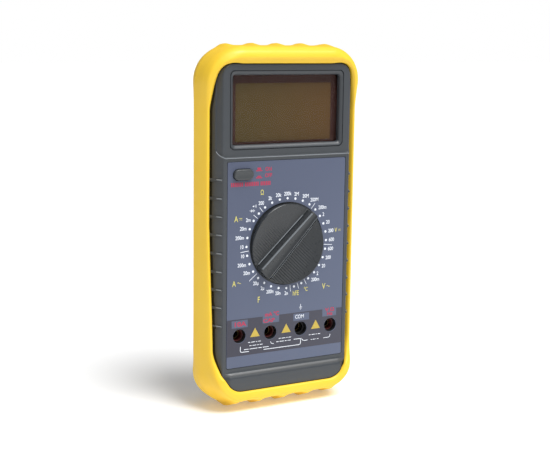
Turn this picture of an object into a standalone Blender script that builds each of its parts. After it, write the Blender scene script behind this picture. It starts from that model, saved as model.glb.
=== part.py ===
"""Handheld digital multimeter in a rubber holster, standing upright on its lower end.

X is to the right seen from the front, Y points to the back, Z is up. Sizes below are millimetres; the
helpers scale them to metres. Depths are counted from the front panel's printed face towards the back, and
heights from the surface that the meter stands on, so a point is (x, depth, height).
"""

import math

import bmesh
import bpy
from mathutils import Matrix, Vector

MM = 0.001
FIT = 0.3  # gap between solids that touch

# --- driving dimensions ---------------------------------------------------------------------------------
CASE_HALF_W = 45.0
CASE_BOTTOM = 4.0
CASE_TOP = 194.0
CASE_CORNER_R = 18.0
CASE_WALL = 2.2
CHIN_TOP = 23.8
CHIN_RISE = 1.2  # how far the chin stands proud of the printed panel
DISPLAY_SINK = 0.8  # how far the case round the display lies below it
DISPLAY_BOTTOM = 139.0
DISPLAY_HALF_W = 40.9
PARTING = 13.0  # depth of the joint between the two half shells
CASE_BACK = 27.0
HOLSTER_BACK = 29.5
HOLSTER_WALL = 4.0
KNOB_RISE = 4.6
FRONT_MOST = KNOB_RISE
DEPTH_OFFSET = (FRONT_MOST - HOLSTER_BACK) / 2  # puts the middle of the overall depth on Y = 0

DIAL_Z = 91.0
WINDOW_HALF_W = 33.9
WINDOW_Z = (142.9, 182.9)
PANE_HALF_W = 32.4
PANE_Z = (145.0, 181.5)
PANE_DEPTH = 4.0
OVERLAY_HALF_W = 36.1
OVERLAY_Z = (25.2, 136.5)
OVERLAY_THICK = 0.5
OVERLAY_POCKET = OVERLAY_THICK + FIT

JACK_Z = 42.5
JACK_PITCH = 19.05
JACK_HOLE_R = 3.95
PLUG_BORE_R = 2.1
JACK_NAMES = ("10a", "ma", "com", "v")

BUTTON_X = -27.1
BUTTON_Z = 129.8
BUTTON_HALF = (5.8, 2.9)
BUTTON_RISE = 1.8
BUTTON_TRAVEL = 1.8

DISC_R = 22.0
DISC_RIM = 3.5
SCOOP_FLOOR = 0.8  # height of the disc beside the bar, where its two scoops end
WELL_R = 22.8
WELL_DEPTH = 0.9
HUB_R = 12.0
ROTOR_R = 18.6
ROTOR_DEPTH = (2.6, 7.0)
POSITIONS = 32

PCB_DEPTH = (9.6, 11.2)
PCB_Z = (37.8, 188.0)
PCB_HALF_W = 40.8
PCB_CORNER_R = 11.0

CASE_SCREWS = ((-JACK_PITCH, JACK_Z), (JACK_PITCH, JACK_Z), (-35.0, 137.5), (35.0, 137.5))
BOARD_SCREWS = ((-32.0, 63.0), (32.0, 63.0), (-32.0, 121.0), (32.0, 121.0))

DOOR_HALF_W = 29.0
DOOR_Z = (14.5, 36.0)
DOOR_TAB = (5.5, 46.0)  # half width and top of the tab that takes the door's screw
DOOR_DEPTH = (25.0, CASE_BACK)
DOOR_SCREW_Z = 41.0

STAND_HALF_W = 23.5
STAND_Z = (53.0, 139.0)  # free end, hinge axis
STAND_THICK = 3.0
STAND_AXIS_DEPTH = 25.2
STAND_PIN_R = 1.3
POCKET_DEPTH = STAND_AXIS_DEPTH - STAND_THICK / 2 - FIT


# --- small geometry helpers -----------------------------------------------------------------------------
def place(x, depth, z):
    return Vector((x, depth + DEPTH_OFFSET, z)) * MM


def material(name, rgb, roughness, metallic=0.0):
    found = bpy.data.materials.get(name)
    if found:
        return found
    made = bpy.data.materials.new(name)
    made.use_nodes = True
    shader = made.node_tree.nodes["Principled BSDF"]
    shader.inputs["Base Color"].default_value = (*rgb, 1.0)
    shader.inputs["Roughness"].default_value = roughness
    shader.inputs["Metallic"].default_value = metallic
    return made


def materials():
    return {
        "rubber": material("yellow_rubber", (0.85, 0.52, 0.03), 0.55),
        "case": material("charcoal_abs", (0.06, 0.068, 0.075), 0.5),
        "panel": material("panel_film", (0.14, 0.17, 0.26), 0.45),
        "knob": material("knob_plastic", (0.05, 0.055, 0.06), 0.45),
        "window": material("window_acrylic", (0.25, 0.2, 0.14), 0.08),
        "lcd": material("lcd_glass", (0.12, 0.09, 0.045), 0.2),
        "bezel": material("bezel_plastic", (0.03, 0.015, 0.012), 0.5),
        "zebra": material("zebra_rubber", (0.3, 0.3, 0.32), 0.8),
        "board": material("circuit_board", (0.02, 0.17, 0.07), 0.5),
        "brass": material("brass", (0.7, 0.52, 0.22), 0.3, 1.0),
        "steel": material("steel", (0.6, 0.6, 0.62), 0.3, 1.0),
        "red": material("red_plastic", (0.45, 0.02, 0.02), 0.45),
        "black": material("black_plastic", (0.015, 0.015, 0.017), 0.45),
        "cell": material("battery_sleeve", (0.03, 0.05, 0.12), 0.35),
        "glass": material("fuse_glass", (0.8, 0.85, 0.85), 0.1),
        "epoxy": material("epoxy", (0.01, 0.01, 0.01), 0.3),
    }


def link(obj, mat, pivot=None):
    """Puts an object whose mesh is in world metres into the scene, under its joint's empty if it has one."""
    bpy.context.scene.collection.objects.link(obj)
    if mat is not None:
        obj.data.materials.clear()
        obj.data.materials.append(mat)
    if pivot is not None:
        obj.data.transform(Matrix.Translation(-pivot.location))
        obj.parent = pivot
    return obj


def mesh_object(name, bm, mat, pivot=None, angle=30.0):
    bmesh.ops.recalc_face_normals(bm, faces=bm.faces)
    mesh = bpy.data.meshes.new(name)
    bm.to_mesh(mesh)
    bm.free()
    mesh.shade_smooth()
    mesh.set_sharp_from_angle(angle=math.radians(angle))
    return link(bpy.data.objects.new(name, mesh), mat, pivot)


def arc(cx, cz, r, start, end, steps):
    """Points of an arc from start to end degrees, both ends included."""
    turn = [math.radians(start + (end - start) * i / steps) for i in range(steps + 1)]
    return [(cx + r * math.cos(t), cz + r * math.sin(t)) for t in turn]


def circle(cx, cz, r, steps):
    return arc(cx, cz, r, 0, 360, steps)[:-1]


def rounded_box(half_w, z0, z1, r, steps=5, cx=0.0):
    """Outline of a rectangle with round corners, as (x, z) points, anticlockwise seen from the front."""
    corners = ((half_w - r, z0 + r, -90), (half_w - r, z1 - r, 0), (r - half_w, z1 - r, 90), (r - half_w, z0 + r, 180))
    return [p for x, z, a in corners for p in arc(cx + x, z, r, a, a + 90, steps)]


def ring(bm, outline, depth):
    """One row of vertices; depth may be a number, or a function of the point."""
    return [bm.verts.new(place(x, depth(x, z) if callable(depth) else depth, z)) for x, z in outline]


def skin(bm, a, b):
    for i in range(len(a)):
        j = (i + 1) % len(a)
        bm.faces.new((a[i], a[j], b[j], b[i]))


def loft(bm, rows, closed=False):
    """Joins rows of vertices, and caps the ends unless the last row meets the first."""
    for a, b in zip(rows, rows[1:]):
        skin(bm, a, b)
    if closed:
        skin(bm, rows[-1], rows[0])
    else:
        bm.faces.new(rows[0])
        bm.faces.new(rows[-1])


def prism(bm, outline, d0, d1):
    loft(bm, [ring(bm, outline, d0), ring(bm, outline, d1)])


def prism_object(name, outline, d0, d1, mat, pivot=None):
    bm = bmesh.new()
    prism(bm, outline, d0, d1)
    return mesh_object(name, bm, mat, pivot)


def stepped_object(name, steps, mat, pivot=None):
    """A body whose outline changes with depth: steps is a list of (outline, depth)."""
    bm = bmesh.new()
    loft(bm, [ring(bm, outline, depth) for outline, depth in steps])
    return mesh_object(name, bm, mat, pivot)


def tube(bm, x, z, r_out, r_in, d0, d1, steps):
    outer, inner = circle(x, z, r_out, steps), circle(x, z, r_in, steps)
    rows = [ring(bm, outer, d0), ring(bm, outer, d1), ring(bm, inner, d1), ring(bm, inner, d0)]
    loft(bm, rows, closed=True)


def tube_object(name, x, z, r_out, r_in, d0, d1, mat, steps=20):
    bm = bmesh.new()
    tube(bm, x, z, r_out, r_in, d0, d1, steps)
    return mesh_object(name, bm, mat)


def box(bm, x0, x1, d0, d1, z0, z1):
    prism(bm, [(x0, z0), (x1, z0), (x1, z1), (x0, z1)], d0, d1)


def helper(name, build):
    """A hidden solid for a Boolean."""
    bm = bmesh.new()
    build(bm)
    made = mesh_object(name, bm, None)
    made.hide_render = True
    made.display_type = "WIRE"
    return made


def boolean(obj, operation, build):
    """Cuts from obj, or joins to it, the solid that build(bm) makes."""
    number = len(obj.modifiers)
    tool = helper(f"{obj.name}_tool_{number}", build)
    tool.parent = obj.parent
    if obj.parent:
        tool.data.transform(Matrix.Translation(-obj.parent.location))
    step = obj.modifiers.new(f"{operation.lower()}_{number}", "BOOLEAN")
    step.operation = operation
    step.object = tool
    return obj


def cut(obj, build):
    return boolean(obj, "DIFFERENCE", build)


def add(obj, build):
    return boolean(obj, "UNION", build)


def pivot_at(name, x, depth, z):
    """An empty on a joint's axis, which carries the pieces that move with it."""
    made = bpy.data.objects.new(name, None)
    made.location = place(x, depth, z)
    bpy.context.scene.collection.objects.link(made)
    return made


# --- case shells ----------------------------------------------------------------------------------------
SLOPE_FOOT = 1.0  # inset and depth at which the front shell's long slope starts
SLOPE_DEPTH = 9.72
SLOPE_RATE = 1 / 1.8  # inset for each millimetre of depth up the slope


SLOPE_SINE = 1.8 / math.hypot(1.8, 1.0)
SLOPE_COSINE = 1.0 / math.hypot(1.8, 1.0)


def slope_inset(depth):
    return SLOPE_FOOT + (SLOPE_DEPTH - depth) * SLOPE_RATE


FRONT_SECTION = ((PARTING, 0.0), (SLOPE_DEPTH, SLOPE_FOOT), (-CHIN_RISE, slope_inset(-CHIN_RISE)))
REAR_SECTION = ((PARTING + FIT, 0.0), (18.0, 0.8), (22.0, 3.0), (25.0, 5.4), (26.6, 7.8), (CASE_BACK, 9.3))


def case_outline(inset, steps=6):
    r = max(CASE_CORNER_R - inset, 3.0)
    return rounded_box(CASE_HALF_W - inset, CASE_BOTTOM + inset, CASE_TOP - inset, r, steps)


def shell(name, section, floor, mat):
    """A cup-shaped half shell: section lists (depth, inset) from the open rim to the outer face, and floor is the
    same for the inner corner."""
    bm = bmesh.new()
    rows = [ring(bm, case_outline(inset), depth) for depth, inset in section]
    inside = [(depth, inset + CASE_WALL) for depth, inset in section[:-1]]
    inside = [(depth, inset) for depth, inset in inside if abs(depth - floor[0]) > CASE_WALL] + [floor]
    inner = [ring(bm, case_outline(inset), depth) for depth, inset in inside]
    for group in (rows, inner):
        for a, b in zip(group, group[1:]):
            skin(bm, a, b)
        bm.faces.new(group[-1])
    skin(bm, rows[0], inner[0])
    return mesh_object(name, bm, mat)


def stadium(cx, cz, half_w, half_h, steps=8):
    straight = half_w - half_h
    right = arc(cx + straight, cz, half_h, -90, 90, steps)
    return right + arc(cx - straight, cz, half_h, 90, 270, steps)


def saddle(bm):
    """Clears everything above the chin down to the printed panel's level."""
    clear = CASE_HALF_W + 2
    profile = ((-4.0, CHIN_TOP - 8.0), (-CHIN_RISE - 0.5, CHIN_TOP - 4.4), (0.0, CHIN_TOP), (0.0, CASE_TOP + 5), (-4.0, CASE_TOP + 5))
    loft(bm, [[bm.verts.new(place(x, depth, z)) for depth, z in profile] for x in (-clear, clear)])


def display_step(bm):
    """Sinks the part of the case round the display by a small step with round lower corners."""
    prism(bm, rounded_box(DISPLAY_HALF_W, DISPLAY_BOTTOM, CASE_TOP + 10, 5.0, 5), -4.0, DISPLAY_SINK)


def grip_ribs(bm, side):
    """Nine small ribs from the edge of the face down the sloping side of the front shell."""
    pitch, first, half, rise = 9.8, DIAL_Z + 36.0, 1.0, 0.95
    for i in range(9):
        z = first - i * pitch
        end = LIP_SIDE[0][1] - side_lift(z - CASE_BOTTOM) - 0.9
        section = []
        for depth, lift in ((0.3, 0.6), (end, 0.6), (end - 0.5, -rise), (0.9, -rise)):
            section.append((CASE_HALF_W - slope_inset(depth) - lift * SLOPE_SINE, depth + lift * SLOPE_COSINE))
        rows = [[bm.verts.new(place(side * x, depth, z + dz)) for x, depth in section] for dz in (-half, half)]
        loft(bm, rows)


def detent_ring(bm):
    """A collar inside the front shell whose bore has one notch for each switch position."""
    crest, notch, outer = 20.8, 21.3, 23.4
    bore, rim = [], []
    for i in range(POSITIONS):
        for shift, r in ((0.0, notch), (0.5, crest)):
            t = 2 * math.pi * (i + shift) / POSITIONS
            bore.append((r * math.cos(t), DIAL_Z + r * math.sin(t)))
            rim.append((outer * math.cos(t), DIAL_Z + outer * math.sin(t)))
    d0, d1 = CASE_WALL - 1.0, ROTOR_DEPTH[1] - 0.6
    loft(bm, [ring(bm, rim, d0), ring(bm, rim, d1), ring(bm, bore, d1), ring(bm, bore, d0)], closed=True)


def front_case(mats):
    case = shell("front_case", FRONT_SECTION, (CASE_WALL, slope_inset(CASE_WALL) + CASE_WALL), mats["case"])
    cut(case, saddle)
    cut(case, display_step)
    for side in (-1, 1):
        add(case, lambda bm, side=side: grip_ribs(bm, side))
    wall = CASE_WALL - 1.0
    add(case, lambda bm: prism(bm, rounded_box(WINDOW_HALF_W + 1.8, WINDOW_Z[0] - 1.8, WINDOW_Z[1] + 1.8, 3.0), wall, PANE_DEPTH))
    add(case, detent_ring)

    def posts(bm):
        for x, z in CASE_SCREWS:
            prism(bm, circle(x, z, 3.0, 14), wall, PARTING - FIT)
        for x, z in BOARD_SCREWS:
            prism(bm, circle(x, z, 2.6, 12), wall, PCB_DEPTH[0] - FIT)
        for i in range(4):
            prism(bm, circle((i - 1.5) * JACK_PITCH, JACK_Z, JACK_HOLE_R + 1.5, 20), wall, PCB_DEPTH[0] - FIT)
        prism(bm, stadium(BUTTON_X, BUTTON_Z, BUTTON_HALF[0] + 1.5, BUTTON_HALF[1] + 1.5, 6), wall, 5.0)

    add(case, posts)

    def openings(bm):
        frame = rounded_box(WINDOW_HALF_W, *WINDOW_Z, 2.4, 3), rounded_box(PANE_HALF_W, *PANE_Z, 0.9, 3)
        deep = rounded_box(PANE_HALF_W - 0.1, PANE_Z[0] + 0.1, PANE_Z[1] - 0.1, 0.9, 3)
        loft(bm, [ring(bm, frame[0], DISPLAY_SINK - 0.6), ring(bm, frame[1], PANE_DEPTH - 0.6), ring(bm, deep, PANE_DEPTH + 2)])
        for i in range(4):
            prism(bm, circle((i - 1.5) * JACK_PITCH, JACK_Z, JACK_HOLE_R, 20), -4.0, PARTING)
        prism(bm, stadium(BUTTON_X, BUTTON_Z, BUTTON_HALF[0] + FIT, BUTTON_HALF[1] + FIT), -4.0, 9.0)

    cut(case, openings)

    def panel_pocket(bm):
        prism(bm, rounded_box(OVERLAY_HALF_W + FIT, OVERLAY_Z[0] - FIT, OVERLAY_Z[1] + FIT, 1.2, 2), -4.0, OVERLAY_POCKET)

    cut(case, panel_pocket)
    cut(case, lambda bm: prism(bm, circle(0, DIAL_Z, WELL_R, 40), -4.0, OVERLAY_POCKET + WELL_DEPTH - 0.4))
    cut(case, lambda bm: prism(bm, circle(0, DIAL_Z, HUB_R + FIT, 32), -4.0, CASE_WALL + 3))

    def pilots(bm):
        for x, z in CASE_SCREWS:
            prism(bm, circle(x, z, 1.5, 10), 4.0, PARTING + 2)
        for x, z in BOARD_SCREWS:
            prism(bm, circle(x, z, 1.1, 8), 4.0, PCB_DEPTH[0] + 2)

    return cut(case, pilots)


def rear_case(mats):
    case = shell("rear_case", REAR_SECTION, (CASE_BACK - CASE_WALL, 8.3), mats["case"])
    inner = POCKET_DEPTH - CASE_WALL
    edge = STAND_HALF_W + 3.4
    tab_w, tab_top = DOOR_TAB
    add(case, lambda bm: box(bm, -edge, edge, inner, CASE_BACK - 1.0, STAND_Z[0] - 6, STAND_Z[1] + 4.5))
    add(case, lambda bm: box(bm, -tab_w - 2, tab_w + 2, DOOR_DEPTH[0] - 2.2, CASE_BACK - 1.0, DOOR_Z[1] + 2.0, tab_top + 2.0))

    def posts(bm):
        for x, z in CASE_SCREWS:
            prism(bm, circle(x, z, 3.8, 14), PARTING + FIT, CASE_BACK - 1.9)
        prism(bm, circle(0, DOOR_SCREW_Z, 3.0, 14), 15.0, DOOR_DEPTH[0] - 0.5)

    add(case, posts)

    def stand_pocket(bm):
        wide = STAND_HALF_W + FIT
        prism(bm, rounded_box(wide, STAND_Z[0] - FIT, STAND_Z[1] + 2.1, 0.5, 2), POCKET_DEPTH, CASE_BACK + 2)

    cut(case, stand_pocket)

    def door_opening(bm):
        prism(bm, door_outline(FIT), DOOR_DEPTH[0] - FIT, CASE_BACK + 2)

    cut(case, door_opening)

    def battery_opening(bm):
        prism(bm, rounded_box(DOOR_HALF_W - 1.2, DOOR_Z[0] + 1.2, DOOR_Z[1] - 1.2, 1.0, 2), 20.0, CASE_BACK + 2)
        for x in (-DOOR_HALF_W * 0.6, DOOR_HALF_W * 0.6):
            box(bm, x - 4.0 - FIT, x + 4.0 + FIT, 20.0, DOOR_DEPTH[0] + 0.1, DOOR_Z[0] - 3.0, DOOR_Z[0] + 2)

    cut(case, battery_opening)
    cut(case, lambda bm: prism(bm, circle(0, DOOR_SCREW_Z, 1.1, 10), 17.0, CASE_BACK + 2))

    def finger_relief(bm):
        prism(bm, rounded_box(8.0, STAND_Z[0] - 4.5, STAND_Z[0] + 6.0, 3.0, 4), POCKET_DEPTH + 0.8, CASE_BACK + 2)

    cut(case, finger_relief)

    def pin_sockets(bm):
        reach = STAND_HALF_W + 2.2
        rows = []
        for x in (-reach, reach):
            outline = circle(STAND_AXIS_DEPTH, STAND_Z[1], STAND_PIN_R + FIT, 14)
            rows.append([bm.verts.new(place(x, depth, z)) for depth, z in outline])
        loft(bm, rows)

    cut(case, pin_sockets)

    def screw_holes(bm):
        for x, z in CASE_SCREWS:
            steps = (
                (circle(x, z, 1.8, 12), PARTING - 2),
                (circle(x, z, 1.8, 12), CASE_BACK - 7.0),
                (circle(x, z, 3.0, 12), CASE_BACK - 7.0),
                (circle(x, z, 3.0, 12), CASE_BACK + 3),
            )
            loft(bm, [ring(bm, outline, depth) for outline, depth in steps])

    cut(case, screw_holes)

    def sound_slots(bm):
        for i in range(5):
            z = 150.5 + 3.2 * i
            prism(bm, stadium(0.0, z, 9.0 - abs(i - 2) * 1.5, 0.7, 3), CASE_BACK - 5, CASE_BACK + 2)

    return cut(case, sound_slots)


def door_outline(grow):
    """The battery door: a wide plate with a tab on its upper edge for the screw."""
    w, tab, top = DOOR_HALF_W + grow, DOOR_TAB[0] + grow, DOOR_TAB[1] + grow
    z0, z1, r = DOOR_Z[0] - grow, DOOR_Z[1] + grow, 1.5
    lower = arc(w - r, z0 + r, r, -90, 0, 3) + arc(w - r, z1 - r, r, 0, 90, 3)
    right = lower + [(tab, z1)] + arc(tab - r, top - r, r, 0, 90, 3)
    return right + [(-x, z) for x, z in reversed(right)]


def battery_door(mats):
    door = prism_object("battery_door", door_outline(0), *DOOR_DEPTH, mats["case"])

    def hooks(bm):
        for x in (-DOOR_HALF_W * 0.6, DOOR_HALF_W * 0.6):
            box(bm, x - 4.0, x + 4.0, 22.9, 24.2, DOOR_Z[0] - 2.0, DOOR_Z[0] + 4.0)
            box(bm, x - 4.0, x + 4.0, 22.9, DOOR_DEPTH[0] + 0.5, DOOR_Z[0] + 2.2, DOOR_Z[0] + 4.0)

    add(door, hooks)

    def grips(bm):
        for i in range(4):
            z = DOOR_Z[0] + 5.0 + 3.4 * i
            prism(bm, stadium(0.0, z, 9.0, 0.8, 3), CASE_BACK - 0.7, CASE_BACK + 1)
        steps = ((1.5, DOOR_DEPTH[0] - 1), (1.5, CASE_BACK - 1.2), (2.6, CASE_BACK - 1.2), (2.6, CASE_BACK + 1))
        loft(bm, [ring(bm, circle(0, DOOR_SCREW_Z, r, 12), depth) for r, depth in steps])

    cut(door, grips)
    screw("battery_door_screw", 0.0, DOOR_SCREW_Z, CASE_BACK - 1.2 + FIT, -1, 2.2, 0.9, 7.5, 1.1, mats)


# --- holster --------------------------------------------------------------------------------------------
# Points of the rubber boot's section as (inset from the case's widest outline, depth), from the foot of the
# front lip over the outside to the back lip, then back along the lining. The lip lies low along the sides and
# climbs over the front at both ends.
LIP_SIDE = ((1.63, 7.75), (1.45, 7.1), (1.1, 6.2), (0.55, 5.5), (0.0, 5.5), (-0.7, 6.3), (-1.6, 8.6), (-2.4, 11.2), (-3.0, 13.8))
LIP_LOWER = ((7.8, -1.6), (7.7, -2.15), (7.0, -2.7), (5.2, -2.85), (3.2, -2.4), (0.9, -0.2), (-1.2, 4.6), (-3.0, 9.0), (-4.0, 12.5))
LIP_UPPER = ((6.3, 0.45), (6.25, -0.1), (5.7, -0.6), (3.2, -2.1), (0.3, -1.5), (-2.3, 0.1), (-3.6, 2.2), (-4.0, 5.5), (-4.0, 13.0))
BACK_SIDE = ((-3.25, 16.0), (-1.5, 19.4), (0.8, 22.6), (3.4, 26.2), (6.4, 28.8), (8.0, HOLSTER_BACK), (11.5, HOLSTER_BACK))
BACK_END = ((-4.0, 16.5), (-4.0, 20.5), (-2.7, 24.4), (0.4, 27.8), (4.4, 29.3), (6.0, HOLSTER_BACK), (11.5, HOLSTER_BACK))
LINING = ((11.5, 27.45), (9.1, 27.45), (7.4, 27.0), (4.95, 25.35), (2.45, 22.3), (0.36, 18.25), (-0.4, 13.3), (0.6, 9.55))
LINING_SIDE = ((0.85, 9.1), (1.2, 8.5))
LINING_LOWER = ((1.65, 7.63), (6.72, -1.5))
LINING_UPPER = ((1.65, 7.63), (5.5, 0.5))
SIDE_LIFT = 2.4  # how far the side lips stand forward near the lower end
LIFT_SHARE = (1.0, 1.0, 1.0, 0.95, 0.85, 0.65, 0.35, 0.15, 0.0)
MEETS_SLOPE = 0.8  # how far up its climb the lip's foot leaves the case's slope and runs on over the front
RIDGE_PITCH = 15.15
RIDGE_HEIGHT = 1.5
RIDGE_FLAT = 1.2  # half width of a ridge's crest, and of its foot
RIDGE_FOOT = 3.4
CLIMB = {"lower": (13.0, 24.0), "upper": (12.0, 40.0)}  # where on the side the lip starts to climb, and over what length


def mix(a, b, t):
    return a + (b - a) * t


def mix_points(first, second, t):
    return [[mix(a, b, t) for a, b in zip(p, q)] for p, q in zip(first, second)]


def smooth(t):
    t = min(max(t, 0.0), 1.0)
    return t * t * (3 - 2 * t)


def side_lift(up):
    """How far the side lip stands forward, at a height above the lower end."""
    return SIDE_LIFT * smooth((111.0 - up) / 95.0)


def boot_section(where, climb, lift, ridge):
    """The closed section at one station: climb 0 is a side and 1 an end."""
    lip, lining = (LIP_LOWER, LINING_LOWER) if where == "lower" else (LIP_UPPER, LINING_UPPER)
    side = [(inset + lift * share * SLOPE_RATE, depth - lift * share) for (inset, depth), share in zip(LIP_SIDE, LIFT_SHARE)]
    points = mix_points(side, lip, climb)
    depth = mix(side[0][1], lip[0][1], min(climb / MEETS_SLOPE, 1.0))
    on_slope = side[0][0] + SLOPE_RATE * (side[0][1] - depth)
    inset = mix(on_slope, lip[0][0], max(climb - MEETS_SLOPE, 0.0) / (1 - MEETS_SLOPE))
    shift = (inset - points[0][0], depth - points[0][1])
    for i, share in enumerate((1.0, 1.0, 0.85, 0.45)):
        points[i] = [value + share * move for value, move in zip(points[i], shift)]
    points += mix_points(BACK_SIDE, BACK_END, climb)
    for p in points:
        p[0] += (RIDGE_HEIGHT * climb - ridge) * smooth((2.5 - p[0]) / 4.5)
    points += LINING
    return points + mix_points(LINING_SIDE, lining, climb)


def boot_quarter(where):
    """Stations from the middle of an end round the corner to mid height: x, distance from the end, normal,
    end, climb, lift of the side lip, and ridge height."""
    straight = CASE_HALF_W - CASE_CORNER_R
    corner_length = CASE_CORNER_R * math.pi / 2
    along = []
    for k in range(3):
        for offset, height in ((-RIDGE_FOOT, 0), (-RIDGE_FLAT, 1), (RIDGE_FLAT, 1), (RIDGE_FOOT, 0)):
            if k or offset > 0:
                along.append((k * RIDGE_PITCH + offset, RIDGE_HEIGHT * height))
    along += [(straight + corner_length * t, 0.0) for t in (0.37, 0.5, 0.62, 0.74, 0.87, 1.0)]
    side = straight + corner_length
    half = (CASE_TOP - CASE_BOTTOM) / 2 - CASE_CORNER_R
    along += [(side + step, 0.0) for step in (4.0, 8.0, 13.0, 40.0, half)]
    start, length = CLIMB[where]
    stations = []
    for s, ridge in along:
        turn = min(max(s - straight, 0.0) / CASE_CORNER_R, math.pi / 2)
        nx, nz = math.sin(turn), -math.cos(turn)
        x = min(s, straight) + CASE_CORNER_R * nx
        up = CASE_CORNER_R * (1 + nz) + max(s - side, 0.0)
        climb = smooth((side + start - s) / length)
        lift = side_lift(up) if where == "lower" else 0.0
        stations.append((x, up, nx, nz, where, climb, lift, ridge))
    return stations


def boot_stations():
    right = [(x, CASE_BOTTOM + up, nx, nz, *rest) for x, up, nx, nz, *rest in boot_quarter("lower")]
    upper = boot_quarter("upper")[:-1]
    right += [(x, CASE_TOP - up, nx, -nz, *rest) for x, up, nx, nz, *rest in reversed(upper)]
    left = [(-x, z, -nx, nz, *rest) for x, z, nx, nz, *rest in reversed(right)]
    return right + left


def holster(mats):
    bm = bmesh.new()
    rows = []
    for x, z, nx, nz, *rest in boot_stations():
        section = boot_section(*rest)
        rows.append([bm.verts.new(place(x - inset * nx, depth, z - inset * nz)) for inset, depth in section])
    loft(bm, rows, closed=True)
    return mesh_object("holster", bm, mats["rubber"], angle=50)


# --- front panel ----------------------------------------------------------------------------------------
def panel_overlay(mats):
    film = prism_object("panel_overlay", rounded_box(OVERLAY_HALF_W, *OVERLAY_Z, 1.0, 2), 0.0, OVERLAY_THICK, mats["panel"])

    def holes(bm):
        prism(bm, circle(0, DIAL_Z, WELL_R, 40), -1, 2)
        for i in range(4):
            prism(bm, circle((i - 1.5) * JACK_PITCH, JACK_Z, JACK_HOLE_R, 20), -1, 2)
        prism(bm, stadium(BUTTON_X, BUTTON_Z, BUTTON_HALF[0] + FIT, BUTTON_HALF[1] + FIT), -1, 2)

    return cut(film, holes)


def display(mats):
    window = rounded_box(PANE_HALF_W + 1.2, PANE_Z[0] - 1.2, PANE_Z[1] + 1.2, 1.2, 2)
    prism_object("lcd_window", window, PANE_DEPTH + FIT, PANE_DEPTH + 1.3, mats["window"])
    glass_z = (PANE_Z[0] + 1.0, PANE_Z[1] - 1.0)
    glass = rounded_box(31.6, *glass_z, 0.5, 1)
    prism_object("lcd_glass", glass, PANE_DEPTH + 1.6, PANE_DEPTH + 4.2, mats["lcd"])
    frame = prism_object("lcd_frame", rounded_box(33.9, PANE_Z[0] - 1.6, PANE_Z[1] + 2.6, 1.0, 2),
                         PANE_DEPTH + 1.6, PCB_DEPTH[0] - FIT, mats["bezel"])
    cut(frame, lambda bm: prism(bm, rounded_box(31.9, glass_z[0] - FIT, glass_z[1] + FIT, 0.5, 1), 0, 20))
    for name, z in (("zebra_strip_lower", glass_z[0] + 2.0), ("zebra_strip_upper", glass_z[1] - 2.0)):
        strip = rounded_box(29.0, z - 1.1, z + 1.1, 0.3, 1)
        prism_object(name, strip, PANE_DEPTH + 4.5, PCB_DEPTH[0] - FIT, mats["zebra"])


def power_button(mats):
    pivot = pivot_at("power_press", BUTTON_X, 0.0, BUTTON_Z)
    w, h = BUTTON_HALF
    inner = stadium(BUTTON_X, BUTTON_Z, w - 0.7, h - 0.7)
    outer = stadium(BUTTON_X, BUTTON_Z, w, h)
    steps = [(inner, -BUTTON_RISE), (outer, -BUTTON_RISE + 0.6), (outer, 5.2)]
    cap = stepped_object("power_button", steps, mats["knob"], pivot)
    cut(cap, lambda bm: prism(bm, stadium(BUTTON_X, BUTTON_Z, w - 1.4, h - 1.4), 1.0, 7))
    plunger = [(BUTTON_X + x, BUTTON_Z + z) for x, z in ((-1.2, -0.9), (1.2, -0.9), (1.2, 0.9), (-1.2, 0.9))]
    prism_object("switch_plunger", plunger, 1.0 + FIT, 13.5, mats["black"], pivot)
    body = prism_object("power_switch", rounded_box(4.0, BUTTON_Z - 4.0, BUTTON_Z + 4.0, 0.3, 1, BUTTON_X),
                        PCB_DEPTH[1] + FIT, 19.5, mats["black"])
    cut(body, lambda bm: box(bm, BUTTON_X - 1.6, BUTTON_X + 1.6, 5, 17.2, BUTTON_Z - 1.3, BUTTON_Z + 1.3))


# --- selector switch ------------------------------------------------------------------------------------
BAR_ANGLE = math.radians(45.0)
BAR_TAIL, BAR_HEAD = -21.0, 21.2
BAR_TOP = (3.8, 2.3)  # half widths of the bar's top at the tail and at the pointing end
BAR_FOOT = (5.8, 4.3)


def bar_point(along, across, depth):
    c, s = math.cos(BAR_ANGLE), math.sin(BAR_ANGLE)
    return place(along * c - across * s, depth, DIAL_Z + along * s + across * c)


def scoop(bm, side):
    """Clears one side of the disc down a slope that falls from the rim to the foot of the bar."""
    profile = ((3.9, -SCOOP_FLOOR), (DISC_R - 1.0, -DISC_RIM + 0.1), (30.0, -DISC_RIM - 1.4), (30.0, -9.0), (3.9, -9.0))
    loft(bm, [[bm.verts.new(bar_point(along, side * across, depth)) for across, depth in profile] for along in (-30.0, 30.0)])


def pointer_bar(bm):
    """The raised grip across the disc, narrower at the end that points to the range."""
    top, foot, low = -KNOB_RISE, -SCOOP_FLOOR - 0.1, -SCOOP_FLOOR + 0.8
    levels = ((low, BAR_FOOT, 0.0), (foot, BAR_FOOT, 0.0), (top + 0.4, BAR_TOP, 0.8), (top, tuple(w - 0.5 for w in BAR_TOP), 1.4))
    rows = []
    for depth, (tail_w, head_w), draw in levels:
        tail, head = BAR_TAIL + draw, BAR_HEAD - draw
        corner = 1.6
        plan = (
            (tail + corner, -tail_w), (head - corner, -head_w), (head, -head_w + corner), (head, head_w - corner),
            (head - corner, head_w), (tail + corner, tail_w), (tail, tail_w - corner), (tail, -tail_w + corner),
        )
        rows.append([bm.verts.new(bar_point(a, b, depth)) for a, b in plan])
    loft(bm, rows)


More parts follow.
